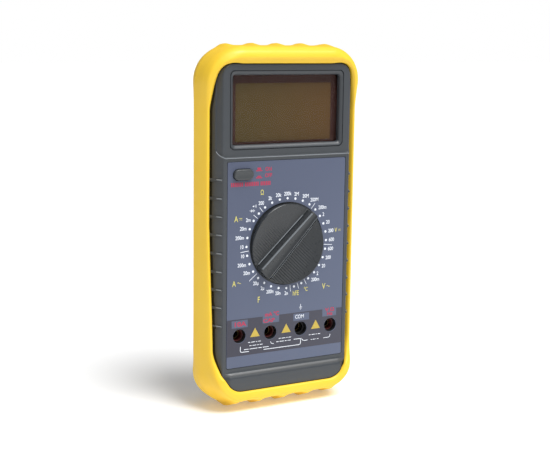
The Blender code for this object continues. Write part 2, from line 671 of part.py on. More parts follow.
def selector(mats):
    pivot = pivot_at("selector_turn", 0.0, 0.0, DIAL_Z)
    disc, hub = circle(0, DIAL_Z, DISC_R, 44), circle(0, DIAL_Z, HUB_R, 44)
    inner = circle(0, DIAL_Z, DISC_R - 0.8, 44)
    steps = [(inner, -DISC_RIM), (disc, -DISC_RIM + 0.7), (disc, 0.9), (hub, 0.9), (hub, 2.3)]
    knob = stepped_object("selector_knob", steps, mats["knob"], pivot)
    for side in (-1, 1):
        cut(knob, lambda bm, side=side: scoop(bm, side))
    add(knob, pointer_bar)
    cut(knob, lambda bm: prism(bm, circle(0, DIAL_Z, 1.2, 10), -1.5, 4))

    rotor = prism_object("contact_rotor", circle(0, DIAL_Z, ROTOR_R, 40), *ROTOR_DEPTH, mats["black"], pivot)
    cut(rotor, lambda bm: prism(bm, circle(0, DIAL_Z, 1.6, 10), 0, 9))
    middle = sum(ROTOR_DEPTH) / 2

    def ball_bores(bm):
        for side in (-1, 1):
            rows = []
            for r in (9.6, ROTOR_R + 2):
                outline = circle(middle, DIAL_Z, 1.75, 12)
                rows.append([bm.verts.new(place(side * r, depth, z)) for depth, z in outline])
            loft(bm, rows)

    cut(rotor, ball_bores)
    screw("rotor_screw", 0.0, DIAL_Z, ROTOR_DEPTH[1] + FIT, -1, 2.4, 1.0, 8.5, 1.2, mats, pivot)

    for side, name in ((1, "right"), (-1, "left")):
        bm = bmesh.new()
        bmesh.ops.create_icosphere(bm, subdivisions=2, radius=1.5 * MM)
        bmesh.ops.translate(bm, verts=bm.verts, vec=place(side * 19.1, middle, DIAL_Z))
        mesh_object(f"detent_ball_{name}", bm, mats["steel"], pivot, angle=60)
        detent_spring(f"detent_spring_{name}", side, middle, mats, pivot)

    for i in range(4):
        contact_wiper(f"contact_wiper_{i + 1}", i, mats, pivot)


def detent_spring(name, side, depth, mats, pivot):
    """A coil that pushes its ball outwards, wound round a radial axis."""
    start, end, turns, coil_r, wire_r = 10.1, 17.0, 3, 1.25, 0.22
    steps = 8 * turns
    curve = bpy.data.curves.new(name, "CURVE")
    curve.dimensions = "3D"
    curve.bevel_depth = wire_r * MM
    curve.bevel_resolution = 1
    curve.use_fill_caps = True
    line = curve.splines.new("POLY")
    line.points.add(steps)
    for i, point in enumerate(line.points):
        t = 2 * math.pi * turns * i / steps
        reach = mix(start, end, i / steps)
        where = place(side * reach, depth + coil_r * math.cos(t), DIAL_Z + coil_r * math.sin(t))
        point.co = (*(where - pivot.location), 1.0)
    made = bpy.data.objects.new(name, curve)
    bpy.context.scene.collection.objects.link(made)
    curve.materials.append(mats["steel"])
    made.parent = pivot
    return made


def contact_wiper(name, index, mats, pivot):
    """A bent leaf of spring brass under the rotor, which slides on the board's tracks."""
    angle = math.radians(45 + 90 * index)
    radius = 8.0 + 2.2 * index
    half_l, half_w, thick = 3.2, 0.9, 0.35
    d0 = ROTOR_DEPTH[1] + FIT
    d1 = PCB_DEPTH[0] - FIT - thick
    path = ((-half_l, d1 - 0.9), (-half_l + 0.9, d1), (-half_l + 1.8, d1 - 0.6), (0.0, d0), (half_l - 1.8, d1 - 0.6), (half_l - 0.9, d1), (half_l, d1 - 0.9))
    bm = bmesh.new()
    rows = []
    for across in (-half_w, half_w):
        lower = [(a, d) for a, d in path]
        upper = [(a, d + thick) for a, d in reversed(path)]
        row = []
        for a, d in lower + upper:
            r, s = radius + across, a
            x = r * math.cos(angle) - s * math.sin(angle)
            z = DIAL_Z + r * math.sin(angle) + s * math.cos(angle)
            row.append(bm.verts.new(place(x, d, z)))
        rows.append(row)
    loft(bm, rows)
    return mesh_object(name, bm, mats["brass"], pivot)


# --- fasteners ------------------------------------------------------------------------------------------
def screw(name, x, z, seat, facing, head_r, shank_r, length, head_h, mats, pivot=None):
    """A pan-head screw with a cross recess. It goes in against facing, and its head's underside is at seat."""
    head, shank = circle(x, z, head_r, 14), circle(x, z, shank_r, 14)
    top = circle(x, z, head_r * 0.72, 14)
    back = -facing
    steps = [(top, seat + back * head_h), (head, seat + back * head_h * 0.45), (head, seat), (shank, seat), (shank, seat - back * length)]
    made = stepped_object(name, steps, mats["steel"], pivot)
    arm, half = head_r * 0.55, head_r * 0.13

    def recess(bm):
        d0, d1 = sorted((seat + back * head_h * 0.35, seat + back * (head_h + 1)))
        cross = ((arm, half), (half, half), (half, arm), (-half, arm), (-half, half), (-arm, half),
                 (-arm, -half), (-half, -half), (-half, -arm), (half, -arm), (half, -half), (arm, -half))
        prism(bm, [(x + a, z + b) for a, b in cross], d0, d1)

    return cut(made, recess)


def fasteners(mats):
    for i, (x, z) in enumerate(CASE_SCREWS):
        screw(f"case_screw_{i + 1}", x, z, CASE_BACK - 7.0 + FIT, -1, 2.7, 1.2, 12.5, 1.9, mats)
    for i, (x, z) in enumerate(BOARD_SCREWS):
        screw(f"board_screw_{i + 1}", x, z, PCB_DEPTH[1] + FIT, -1, 2.2, 0.8, 6.0, 1.3, mats)


# --- electronics ----------------------------------------------------------------------------------------
def jacks(mats):
    for i, name in enumerate(JACK_NAMES):
        x = (i - 1.5) * JACK_PITCH
        colour = mats["black" if name == "com" else "red"]
        tube_object(f"jack_bush_{name}", x, JACK_Z, JACK_HOLE_R - 0.2, 2.9, 5.6, PCB_DEPTH[0] - FIT, colour, 20)
        bm = bmesh.new()
        outer, flange, bore = (circle(x, JACK_Z, r, 20) for r in (2.65, 3.4, PLUG_BORE_R))
        rows = [(outer, 6.0), (outer, PCB_DEPTH[1] + FIT), (flange, PCB_DEPTH[1] + FIT), (flange, PCB_DEPTH[1] + 1.2),
                (outer, PCB_DEPTH[1] + 1.2), (outer, 22.0), (bore, 22.0), (bore, 6.0)]
        loft(bm, [ring(bm, outline, depth) for outline, depth in rows], closed=True)
        mesh_object(f"jack_sleeve_{name}", bm, mats["brass"])


def main_board(mats):
    board = prism_object("main_board", rounded_box(PCB_HALF_W, *PCB_Z, PCB_CORNER_R, 5), *PCB_DEPTH, mats["board"])

    def holes(bm):
        for x, z in CASE_SCREWS:
            prism(bm, circle(x, z, 3.0 + 0.4, 12), 5, 20)
        for x, z in BOARD_SCREWS:
            prism(bm, circle(x, z, 1.1, 8), 5, 20)
        for i in range(4):
            prism(bm, circle((i - 1.5) * JACK_PITCH, JACK_Z, 2.65 + FIT, 12), 5, 20)
        prism(bm, circle(0, DIAL_Z, 2.9, 14), 5, 20)
        box(bm, BUTTON_X - 1.6, BUTTON_X + 1.6, 5, 20, BUTTON_Z - 1.3, BUTTON_Z + 1.3)

    return cut(board, holes)


def board_parts(mats):
    back = PCB_DEPTH[1] + FIT
    prism_object("buzzer_disc", circle(0.0, 160.0, 13.5, 28), back, back + 1.0, mats["brass"])
    prism_object("converter_chip", rounded_box(9.0, 107.0, 125.0, 2.5, 3, 6.0), back, back + 2.6, mats["epoxy"])
    fuse(mats)
    shunt(mats)


def fuse(mats):
    """A 5 x 20 mm fuse across two spring clips, beside the current jack."""
    x, z, depth = 0.0, 62.0, PCB_DEPTH[1] + 4.2

    def barrel(name, x0, x1, r, mat):
        bm = bmesh.new()
        rows = []
        for px in (x0, x1):
            rows.append([bm.verts.new(place(px, d, pz)) for d, pz in circle(depth, z, r, 16)])
        loft(bm, rows)
        return mesh_object(name, bm, mat)

    barrel("fuse", x - 10.0, x + 10.0, 2.5, mats["glass"])
    for side, name in ((-1, "left"), (1, "right")):
        cx = x + side * 8.0
        bm = bmesh.new()
        low = PCB_DEPTH[1] + FIT
        outer = [(low, z - 3.5), (low, z + 3.5), (depth + 2.2, z + 3.5), (depth + 2.2, z + 3.0)]
        inner = [(depth - 2.9, z + 3.0), (depth - 2.9, z - 3.0), (depth + 2.2, z - 3.0), (depth + 2.2, z - 3.5)]
        rows = []
        for px in (cx - 2.2, cx + 2.2):
            rows.append([bm.verts.new(place(px, d, pz)) for d, pz in outer + inner])
        loft(bm, rows)
        mesh_object(f"fuse_clip_{name}", bm, mats["brass"])


def wire(name, points, radius, mat, sides=2, steps=6):
    """A round wire along a smooth curve through the points."""
    knots = [place(*p) for p in points]
    ends = [knots[0] * 2 - knots[1]] + knots + [knots[-1] * 2 - knots[-2]]
    line = []
    for p0, p1, p2, p3 in zip(ends, ends[1:], ends[2:], ends[3:]):
        for i in range(steps):
            t = i / steps
            line.append(0.5 * (2 * p1 + (p2 - p0) * t + (2 * p0 - 5 * p1 + 4 * p2 - p3) * t**2 + (3 * p1 - p0 - 3 * p2 + p3) * t**3))
    line.append(knots[-1])
    curve = bpy.data.curves.new(name, "CURVE")
    curve.dimensions = "3D"
    curve.bevel_depth = radius * MM
    curve.bevel_resolution = sides
    curve.use_fill_caps = True
    spline = curve.splines.new("POLY")
    spline.points.add(len(line) - 1)
    for point, where in zip(spline.points, line):
        point.co = (*where, 1.0)
    curve.materials.append(mat)
    made = bpy.data.objects.new(name, curve)
    bpy.context.scene.collection.objects.link(made)
    return made


def shunt(mats):
    """The U-shaped bar of resistance wire that carries the highest current range."""
    foot = PCB_DEPTH[1] + FIT
    top = foot + 7.0
    x0, x1, z = -27.0, -13.0, 53.0
    points = ((x0, foot, z), (x0, top - 1.5, z), (x0 + 1.5, top, z), (x1 - 1.5, top, z), (x1, top - 1.5, z), (x1, foot, z))
    wire("current_shunt", points, 0.7, mats["brass"], sides=1, steps=3)


def battery(mats):
    """A 9 V block lying across the lower end, its snap connector and the two leads to the board."""
    x0, x1, z0, z1, d0, d1 = -27.0, 21.5, 10.2, 36.6, 4.6, 22.1
    block = bmesh.new()
    box(block, x0, x1, d0, d1, z0, z1)
    mesh_object("battery_9v", block, mats["cell"])
    mid_d, mid_z = (d0 + d1) / 2, (z0 + z1) / 2
    bm = bmesh.new()
    box(bm, x1 + FIT, x1 + 4.2, mid_d - 7.2, mid_d + 7.2, mid_z - 12.4, mid_z + 12.4)
    mesh_object("battery_snap", bm, mats["black"])
    board_back = PCB_DEPTH[1] + FIT
    for name, colour, shift in (("battery_lead_plus", "red", 0.0), ("battery_lead_minus", "black", 2.4)):
        start = x1 + 4.2 + FIT + 0.1
        points = (
            (start, mid_d + 2.0, mid_z + 6.0 - shift), (start + 3.5 + shift / 2, mid_d + 1.5, mid_z + 9.0 - shift),
            (start + 8.0 + shift, mid_d + 1.0, mid_z + 17.0), (start + 9.5 + shift, mid_d, 50.0),
            (start + 8.0 + shift, board_back + 1.8, 55.5), (start + 7.6 + shift, board_back + 0.1, 56.5),
        )
        wire(name, points, 0.6, mats[colour], sides=1, steps=3)


# --- kickstand ------------------------------------------------------------------------------------------
def kickstand(mats):
    pivot = pivot_at("stand_swing", 0.0, STAND_AXIS_DEPTH, STAND_Z[1])
    half_t = STAND_THICK / 2
    bm = bmesh.new()
    hinge_z = STAND_Z[1]
    rounded = arc(STAND_AXIS_DEPTH, hinge_z, half_t, 0, 180, 6)
    foot_z = STAND_Z[0]
    profile = rounded + [(STAND_AXIS_DEPTH - half_t, foot_z + 0.8), (STAND_AXIS_DEPTH - half_t + 0.8, foot_z),
                         (STAND_AXIS_DEPTH + half_t - 0.8, foot_z), (STAND_AXIS_DEPTH + half_t, foot_z + 0.8)]
    rows = [[bm.verts.new(place(x, d, z)) for d, z in profile] for x in (-STAND_HALF_W, STAND_HALF_W)]
    loft(bm, rows)
    leaf = mesh_object("kickstand", bm, mats["case"], pivot)

    def pins(tool):
        reach = STAND_HALF_W + 1.7
        outline = circle(STAND_AXIS_DEPTH, hinge_z, STAND_PIN_R, 14)
        loft(tool, [[tool.verts.new(place(x, d, z)) for d, z in outline] for x in (-reach, reach)])

    add(leaf, pins)

    def recess(tool):
        back = STAND_AXIS_DEPTH + half_t
        wide = STAND_HALF_W - 4.5
        prism(tool, rounded_box(wide, foot_z + 12.0, hinge_z - 10.0, 3.0, 4), back - 0.9, back + 2)

    return cut(leaf, recess)


def clear_scene():
    for obj in list(bpy.data.objects):
        bpy.data.objects.remove(obj, do_unlink=True)


def main():
    clear_scene()
    mats = materials()
    front_case(mats)
    rear_case(mats)
    battery_door(mats)
    holster(mats)
    panel_overlay(mats)
    display(mats)
    power_button(mats)
    selector(mats)
    jacks(mats)
    main_board(mats)
    board_parts(mats)
    battery(mats)
    kickstand(mats)
    fasteners(mats)


main()
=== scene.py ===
"""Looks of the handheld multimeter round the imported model: fine surfaces, print, materials, light and camera.

Sizes are millimetres and go through place(): x to the right, depth from the panel's printed face towards the
back, and height above the surface that the meter stands on.
"""

import math

import bmesh
import bpy
import numpy as np
from mathutils import Matrix, Vector


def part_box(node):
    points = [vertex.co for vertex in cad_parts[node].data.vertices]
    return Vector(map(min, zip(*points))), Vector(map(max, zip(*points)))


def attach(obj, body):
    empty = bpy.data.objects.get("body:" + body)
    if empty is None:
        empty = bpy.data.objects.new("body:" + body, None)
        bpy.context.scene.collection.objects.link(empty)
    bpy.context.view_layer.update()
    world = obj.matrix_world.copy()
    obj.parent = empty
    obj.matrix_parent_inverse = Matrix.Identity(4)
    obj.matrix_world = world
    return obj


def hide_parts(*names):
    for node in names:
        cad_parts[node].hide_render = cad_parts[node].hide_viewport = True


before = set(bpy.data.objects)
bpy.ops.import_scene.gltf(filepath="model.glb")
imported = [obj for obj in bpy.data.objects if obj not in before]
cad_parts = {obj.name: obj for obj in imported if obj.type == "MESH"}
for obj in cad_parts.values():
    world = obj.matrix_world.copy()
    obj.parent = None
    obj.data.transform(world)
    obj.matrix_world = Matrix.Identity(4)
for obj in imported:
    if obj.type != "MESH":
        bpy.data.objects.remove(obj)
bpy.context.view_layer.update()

MM = 0.001
FRONT_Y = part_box("panel_overlay")[0][1]
HALF_W, BOTTOM, TOP, CORNER_R = 45.0, 4.0, 194.0, 18.0  # the case's outline
DIAL_Z = 91.0
KNOB_R = 22.0
JACK_Z = 42.5
JACKS = {name: (i - 1.5) * 19.05 for i, name in enumerate(("10a", "ma", "com", "v"))}
KEY = (-27.1, 129.8)
KEY_HALF = (5.8, 2.9)
GRAIN = 9000.0  # of moulded plastic, in cells per metre


# --- materials ------------------------------------------------------------------------------------------
class Nodes:
    """A short way to build one procedural material."""

    def __init__(self, name, rgb, roughness, **sockets):
        self.mat = bpy.data.materials.new(name)
        self.mat.use_nodes = True
        self.tree = self.mat.node_tree
        self.shader = self.tree.nodes["Principled BSDF"]
        self.shader.inputs["Base Color"].default_value = (*rgb, 1.0)
        self.shader.inputs["Roughness"].default_value = roughness
        for key, value in sockets.items():
            self.shader.inputs[key.replace("_", " ")].default_value = value
        self.coords = None

    def add(self, kind, **inputs):
        node = self.tree.nodes.new(kind)
        for key, value in inputs.items():
            socket = node.inputs[key.replace("_", " ")]
            if isinstance(value, bpy.types.NodeSocket):
                self.tree.links.new(value, socket)
            else:
                socket.default_value = value
        return node

    def position(self):
        if self.coords is None:
            self.coords = self.tree.nodes.new("ShaderNodeTexCoord").outputs["Object"]
        return self.coords

    def noise(self, scale, detail=3.0):
        made = self.add("ShaderNodeTexNoise", Vector=self.position(), Scale=scale, Detail=detail)
        return made.outputs["Fac"]

    def remap(self, value, low, high, out_low, out_high):
        made = self.add("ShaderNodeMapRange", Value=value)
        for key, number in (("From Min", low), ("From Max", high), ("To Min", out_low), ("To Max", out_high)):
            made.inputs[key].default_value = number
        return made.outputs["Result"]

    def blend(self, factor, first, second):
        made = self.tree.nodes.new("ShaderNodeMix")
        made.data_type = "RGBA"
        self.tree.links.new(factor, made.inputs[0])
        for socket, colour in ((made.inputs[6], first), (made.inputs[7], second)):
            if isinstance(colour, bpy.types.NodeSocket):
                self.tree.links.new(colour, socket)
            else:
                socket.default_value = (*colour, 1.0)
        return made.outputs[2]

    def colour(self, socket):
        self.tree.links.new(socket, self.shader.inputs["Base Color"])
        return self

    def rough(self, socket):
        self.tree.links.new(socket, self.shader.inputs["Roughness"])
        return self

    def bump(self, height, strength, distance):
        made = self.add("ShaderNodeBump", Height=height, Strength=strength, Distance=distance)
        self.tree.links.new(made.outputs["Normal"], self.shader.inputs["Normal"])
        return self


def moulded(name, rgb, roughness, depth=0.00002, variation=0.06, **sockets):
    """Injection-moulded plastic: a fine spark-eroded grain, faint cloudiness in colour and sheen."""
    n = Nodes(name, rgb, roughness, **sockets)
    dark = tuple(c * (1 - variation) for c in rgb)
    light = tuple(min(c * (1 + variation), 1.0) for c in rgb)
    n.colour(n.blend(n.noise(60.0), dark, light))
    n.rough(n.remap(n.noise(400.0), 0.3, 0.7, roughness - 0.05, roughness + 0.05))
    return n.bump(n.noise(GRAIN, 2.0), 0.35, depth).mat


def ink(name, rgb):
    return moulded(name, rgb, 0.5, depth=0.000003)


def make_materials():
    return {
        "rubber": rubber_material(),
        "case": moulded("case_abs", (0.046, 0.052, 0.059), 0.38),
        # Lighter greys for thin lines that are painted highlights: on the step under the display, the grips,
        # the chin's ledge and the knob's bar.
        "edge": moulded("painted_highlight_abs", (0.21, 0.23, 0.25), 0.35),
        "chin_highlight": moulded("painted_highlight_chin", (0.078, 0.081, 0.083), 0.38),
        "knob_highlight": moulded("painted_highlight_knob", (0.15, 0.165, 0.18), 0.3),
        "rear": moulded("rear_abs", (0.046, 0.052, 0.058), 0.5),
        "knob": moulded("knob_abs", (0.028, 0.031, 0.034), 0.3, variation=0.1),
        "key": moulded("key_abs", (0.05, 0.055, 0.058), 0.4),
        "panel": panel_material(),
        "band": band_material(),
        "white": ink("white_ink", (0.82, 0.86, 0.93)),
        "red_ink": ink("red_ink", (0.42, 0.025, 0.07)),
        "yellow_ink": ink("yellow_ink", (0.62, 0.56, 0.14)),
        "amber": ink("amber_ink", (0.52, 0.38, 0.06)),
        "lcd": lcd_material(),
        # Dark brown display mask; its wide top border also paints the shadow inside the display's opening.
        "mask": moulded("display_mask_and_painted_shadow", (0.062, 0.026, 0.022), 0.3, Specular_IOR_Level=0.2),
        "window": Nodes("window_acrylic", (0.03, 0.02, 0.015), 0.04, Alpha=0.12, Specular_IOR_Level=0.3).mat,
        "red": moulded("red_insulator", (0.07, 0.007, 0.006), 0.55),
        "black": moulded("black_insulator", (0.009, 0.009, 0.010), 0.5),
        "brass": metal_material("jack_brass", (0.16, 0.11, 0.05), 0.45),
        "steel": metal_material("screw_steel", (0.5, 0.5, 0.52), 0.28),
        "board": moulded("solder_mask", (0.012, 0.09, 0.035), 0.35),
        # Painted shadow for the gap between the boot's lip and the case.
        "painted_gap_shadow": moulded("seam_shadow", (0.022, 0.02, 0.012), 0.7, Specular_IOR_Level=0.1),
        # Near-black for the inner parts; also painted shade in the guide round the power key.
        "dark": moulded("inner_black_and_painted_shade", (0.01, 0.01, 0.011), 0.6),
        "floor": floor_material(),
    }


def rubber_material():
    """Soft yellow rubber: satin, with a slight bloom and scuffing that lightens it."""
    n = Nodes("holster_rubber", (0.86, 0.55, 0.035), 0.5)
    n.colour(n.blend(n.noise(22.0, 4.0), (0.92, 0.56, 0.024), (0.95, 0.64, 0.045)))
    n.rough(n.remap(n.noise(180.0), 0.3, 0.7, 0.44, 0.56))
    return n.bump(n.noise(5200.0, 3.0), 0.3, 0.00003).mat


def panel_material():
    """Printed polyester film: blue-grey with painted shade, darker towards the upper left and lighter towards
    the lower right, and a fine orange peel.
    """
    n = Nodes("panel_film", (0.13, 0.165, 0.27), 0.4)
    base = n.blend(across(n, 0.1875, -0.25), (0.068, 0.082, 0.135), (0.102, 0.124, 0.192))
    n.colour(n.blend(n.remap(n.noise(35.0), 0.3, 0.7, 0.0, 0.2), base, (0.086, 0.106, 0.164)))
    n.rough(n.remap(n.noise(300.0), 0.3, 0.7, 0.36, 0.44))
    return n.bump(n.noise(6000.0, 2.0), 0.2, 0.00001).mat


def across(n, right, up):
    """A slow ramp over the front, 0.5 in its middle, that gains this much up to its right and upper edges."""
    split = n.add("ShaderNodeSeparateXYZ", Vector=n.position())
    total = n.add("ShaderNodeMath")
    n.tree.links.new(n.remap(split.outputs["X"], -0.036, 0.036, -right, right), total.inputs[0])
    n.tree.links.new(n.remap(split.outputs["Z"], 0.026, 0.136, -up, up), total.inputs[1])
    return n.remap(total.outputs[0], -0.5, 0.5, 0.0, 1.0)


def band_material():
    n = Nodes("band_ink", (0.045, 0.045, 0.066), 0.42)
    # Painted shade: the band is darker towards its left end and lighter towards its right.
    n.colour(n.blend(across(n, 0.5, 0.0), (0.037, 0.037, 0.056), (0.051, 0.052, 0.074)))
    return n.bump(n.noise(6000.0, 2.0), 0.2, 0.000005).mat


def lcd_material():
    """Unlit liquid crystal behind a brownish polariser: olive at the left, red-brown at the right."""
    n = Nodes("unlit_lcd", (0.107, 0.075, 0.032), 0.35, Specular_IOR_Level=0.1)
    drift = n.blend(across(n, 0.5, 0.0), (0.100, 0.079, 0.030), (0.142, 0.076, 0.029))
    n.colour(n.blend(n.remap(n.noise(45.0, 2.0), 0.35, 0.65, 0.0, 0.3), drift, (0.120, 0.074, 0.031)))
    return n.bump(n.noise(900.0, 1.0), 0.1, 0.00001).mat


def metal_material(name, rgb, roughness):
    n = Nodes(name, rgb, roughness, Metallic=1.0)
    n.colour(n.blend(n.noise(500.0), tuple(c * 0.85 for c in rgb), rgb))
    n.rough(n.remap(n.noise(900.0), 0.3, 0.7, roughness - 0.06, roughness + 0.1))
    return n.bump(n.noise(4000.0, 2.0), 0.15, 0.00001).mat


def floor_material():
    white = (1.0, 1.0, 1.0, 1.0)
    n = Nodes("floor_paper", (0.93, 0.93, 0.93), 0.75, Emission_Color=white, Emission_Strength=0.2)
    n.colour(n.blend(n.noise(3.0), (0.92, 0.92, 0.92), (0.94, 0.94, 0.94)))
    return n.bump(n.noise(800.0), 0.05, 0.0001).mat


# --- geometry helpers -----------------------------------------------------------------------------------
def place(x, depth, z):
    return Vector((x * MM, FRONT_Y + depth * MM, z * MM))


def to_world(points):
    """An array of (x, depth, height) rows in millimetres, as metres in the shared frame."""
    points = np.asarray(points, float)
    return np.stack([points[:, 0] * MM, points[:, 1] * MM + FRONT_Y, points[:, 2] * MM], axis=1)


def smooth(t):
    t = np.clip(t, 0.0, 1.0)
    return t * t * (3 - 2 * t)


def mix(a, b, t):
    return a + (b - a) * t


def finish_piece(obj, mat, body="housing", angle=40.0):
    bpy.context.scene.collection.objects.link(obj)
    obj.data.materials.clear()
    obj.data.materials.append(mat)
    obj.data.shade_smooth()
    obj.data.set_sharp_from_angle(angle=math.radians(angle))
    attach(obj, body)
    return obj


def mesh_piece(name, points, faces, mat, body="housing", angle=40.0):
    """A piece from (x, depth, height) points in millimetres. Its faces are turned outwards."""
    mesh = bpy.data.meshes.new(name)
    mesh.from_pydata([tuple(p) for p in to_world(points)], [], [tuple(f) for f in faces])
    bm = bmesh.new()
    bm.from_mesh(mesh)
    bmesh.ops.remove_doubles(bm, verts=bm.verts, dist=1e-7)
    bmesh.ops.recalc_face_normals(bm, faces=bm.faces)
    bm.to_mesh(mesh)
    bm.free()
    return finish_piece(bpy.data.objects.new(name, mesh), mat, body, angle)


def grid_faces(rows, cols, close_rows=False, close_cols=False):
    faces = []
    for i in range(rows if close_rows else rows - 1):
        for j in range(cols if close_cols else cols - 1):
            a, b = i * cols + j, i * cols + (j + 1) % cols
            c, d = ((i + 1) % rows) * cols + (j + 1) % cols, ((i + 1) % rows) * cols + j
            faces.append((a, b, c, d))
    return faces


def loft_piece(name, rings, mat, body="housing", closed=False, angle=40.0):
    """Rings of equal length joined in order: the last to the first when closed, else capped at both ends."""
    count = len(rings[0])
    points = [p for ring in rings for p in ring]
    faces = grid_faces(len(rings), count, close_rows=closed, close_cols=True)
    if not closed:
        last = (len(rings) - 1) * count
        faces += [tuple(range(count)), tuple(range(last, last + count))]
    return mesh_piece(name, points, faces, mat, body, angle)


def arc(cx, cz, r, start, end, steps):
    turn = [math.radians(start + (end - start) * i / steps) for i in range(steps + 1)]
    return [(cx + r * math.cos(t), cz + r * math.sin(t)) for t in turn]


def circle(cx, cz, r, steps=64):
    return arc(cx, cz, r, 0, 360, steps)[:-1]


def rounded_box(half_w, z0, z1, r, steps=8):
    x, low, high = half_w - r, z0 + r, z1 - r
    corners = ((x, low, -90), (x, high, 0), (-x, high, 90), (-x, low, 180))
    return [p for cx, cz, a in corners for p in arc(cx, cz, r, a, a + 90, steps)]


def stadium(cx, cz, half_w, half_h):
    straight = half_w - half_h
    return arc(cx + straight, cz, half_h, -90, 90, 14) + arc(cx - straight, cz, half_h, 90, 270, 14)


def at(outline, depth):
    return [(x, depth, z) for x, z in outline]


def turned(name, cx, cz, profile, mat, steps):
    """A ring turned about a depth-wise axis, from the (radius, depth) points of its section."""
    return loft_piece(name, [at(circle(cx, cz, r, steps), d) for r, d in profile], mat, closed=True)


def box_distance(x, z, half_w, z0, z1, r):
    """How far inside a rounded rectangle a point lies; negative outside."""
    cz, half_h = (z0 + z1) / 2, (z1 - z0) / 2
    qx, qz = np.abs(x) - (half_w - r), np.abs(z - cz) - (half_h - r)
    outside = np.hypot(np.maximum(qx, 0), np.maximum(qz, 0))
    return -(outside + np.minimum(np.maximum(qx, qz), 0) - r)


def spline(points, per_segment):
    """A smooth curve through 2-D points, whose tangents are kept no longer than the chord beside them."""
    pts = np.asarray(points, float)
    ext = np.vstack([2 * pts[0] - pts[1], pts, 2 * pts[-1] - pts[-2]])
    t = np.linspace(0, 1, per_segment, endpoint=False)[:, None]
    out = []
    for p0, p1, p2, p3 in zip(ext, ext[1:], ext[2:], ext[3:]):
        m1, m2 = (p2 - p0) / 2, (p3 - p1) / 2
        chord = np.linalg.norm(p2 - p1)
        for m in (m1, m2):
            size = np.linalg.norm(m)
            if size > chord > 0:
                m *= chord / size
        ends = (2 * t**3 - 3 * t**2 + 1) * p1 + (-2 * t**3 + 3 * t**2) * p2
        out.append(ends + (t**3 - 2 * t**2 + t) * m1 + (t**3 - t**2) * m2)
    return np.vstack([*out, pts[-1:]])


# The section of a thin line, as (share of its width, how far it stands proud).
LINE_SECTION = ((-0.5, -0.15), (-0.3, 0.07), (0.0, 0.11), (0.3, 0.07), (0.5, -0.15))


def fine_line(name, path, width, depth_at, mat, body="housing"):
    """A thin line along a path of (x, z), just proud of the surface whose depth is depth_at(x, z)."""
    rows = []
    for i, (x, z) in enumerate(path):
        (x0, z0), (x1, z1) = path[max(i - 1, 0)], path[min(i + 1, len(path) - 1)]
        long = math.hypot(x1 - x0, z1 - z0)
        nx, nz = -(z1 - z0) / long, (x1 - x0) / long
        row = []
        for off, proud in LINE_SECTION:
            px, pz = x + off * width * nx, z + off * width * nz
            row.append((px, float(depth_at(px, pz)) - proud, pz))
        rows.append(row)
    return loft_piece(name, rows, mat, body, angle=60)


# --- holster --------------------------------------------------------------------------------------------
# The boot's section as (inset from the case's outline, depth), from the lip's foot round to the back.
LIP_SIDE = (
    (2.05, 7.8), (1.7, 7.1), (1.15, 6.1), (0.55, 5.5), (0.0, 5.5), (-0.7, 6.3), (-1.6, 8.6), (-2.4, 11.2),
    (-3.0, 13.8),
)
LIP_LOWER = (
    (7.8, -1.2), (7.7, -2.0), (7.0, -2.7), (5.2, -2.85), (3.2, -2.4), (0.9, -0.2), (-1.2, 4.6), (-3.0, 9.0),
    (-4.0, 12.5),
)
LIP_UPPER = (
    (6.3, 0.9), (6.25, 0.2), (5.7, -0.4), (3.2, -2.1), (0.3, -1.5), (-2.3, 0.1), (-3.6, 2.2), (-4.0, 5.5),
    (-4.0, 13.0),
)
BACK_SIDE = ((-3.25, 16.0), (-1.5, 19.4), (0.8, 22.6), (3.4, 26.2), (6.4, 28.8), (11.5, 29.5), (11.5, 27.6))
BACK_END = ((-4.0, 16.5), (-4.0, 20.5), (-2.7, 24.4), (0.4, 27.8), (4.4, 29.3), (11.5, 29.5), (11.5, 27.6))
FOOT_POINTS = (1.0, 1.0, 0.85, 0.45)  # how far each of the lip's first points follows its foot
RIDGE_PITCH = 15.15
RIDGES = {"lower": 2.3, "upper": 1.25}  # height of the ribs over the scallops between them
RIDGE_REACH = {"lower": (3.2, 4.5), "upper": (-0.3, 2.6)}  # inset where they end in front, over what length
FACE_CORNER = {"lower": CORNER_R, "upper": 13.0}  # radius that the case's slope follows round the corners
CLIMB = {"lower": (13.0, 24.0), "upper": (12.0, 40.0)}  # where on the side the lip climbs, over what length
CLIMB_EVEN = {"lower": 0.0, "upper": 0.75}  # share of an even climb in place of an eased one
LIP_LEAVES = 0.8  # share of the climb over which the lip's foot stays on the case's slope
LIFT = 2.4  # how far the side lips stand forward near the lower end
LIFTED = (1.0, 1.0, 1.0, 0.95, 0.85, 0.65, 0.35, 0.15, 0.0)  # share of it that each of their points takes
# The case's side slope: the inset where it leaves the flat front, and the depth gained per mm outwards.
SLOPE_TOP, SLOPE_STEEP = 6.4, 1.8


def ridge_height(where, s):
    """Height of the boot's ribs over the scallops, at a distance s along an end from its middle."""
    height = RIDGES[where]
    nearest = np.round(s / RIDGE_PITCH)
    off = abs(s - nearest * RIDGE_PITCH)
    if nearest > 2:
        return 0.0
    if where == "lower":
        shape = math.exp(-((off / 1.5) ** 1.6)) * 0.45 + 0.55 * (off / (RIDGE_PITCH / 2) - 1) ** 2
        past = max(s - RIDGE_PITCH * 2, 0.0)
        return height * min(shape, 1.0) * math.exp(-((past / 3.4) ** 2))
    return height * math.exp(-((off / 2.1) ** 2))


def slope_inset(depth):
    return SLOPE_TOP - depth / SLOPE_STEEP


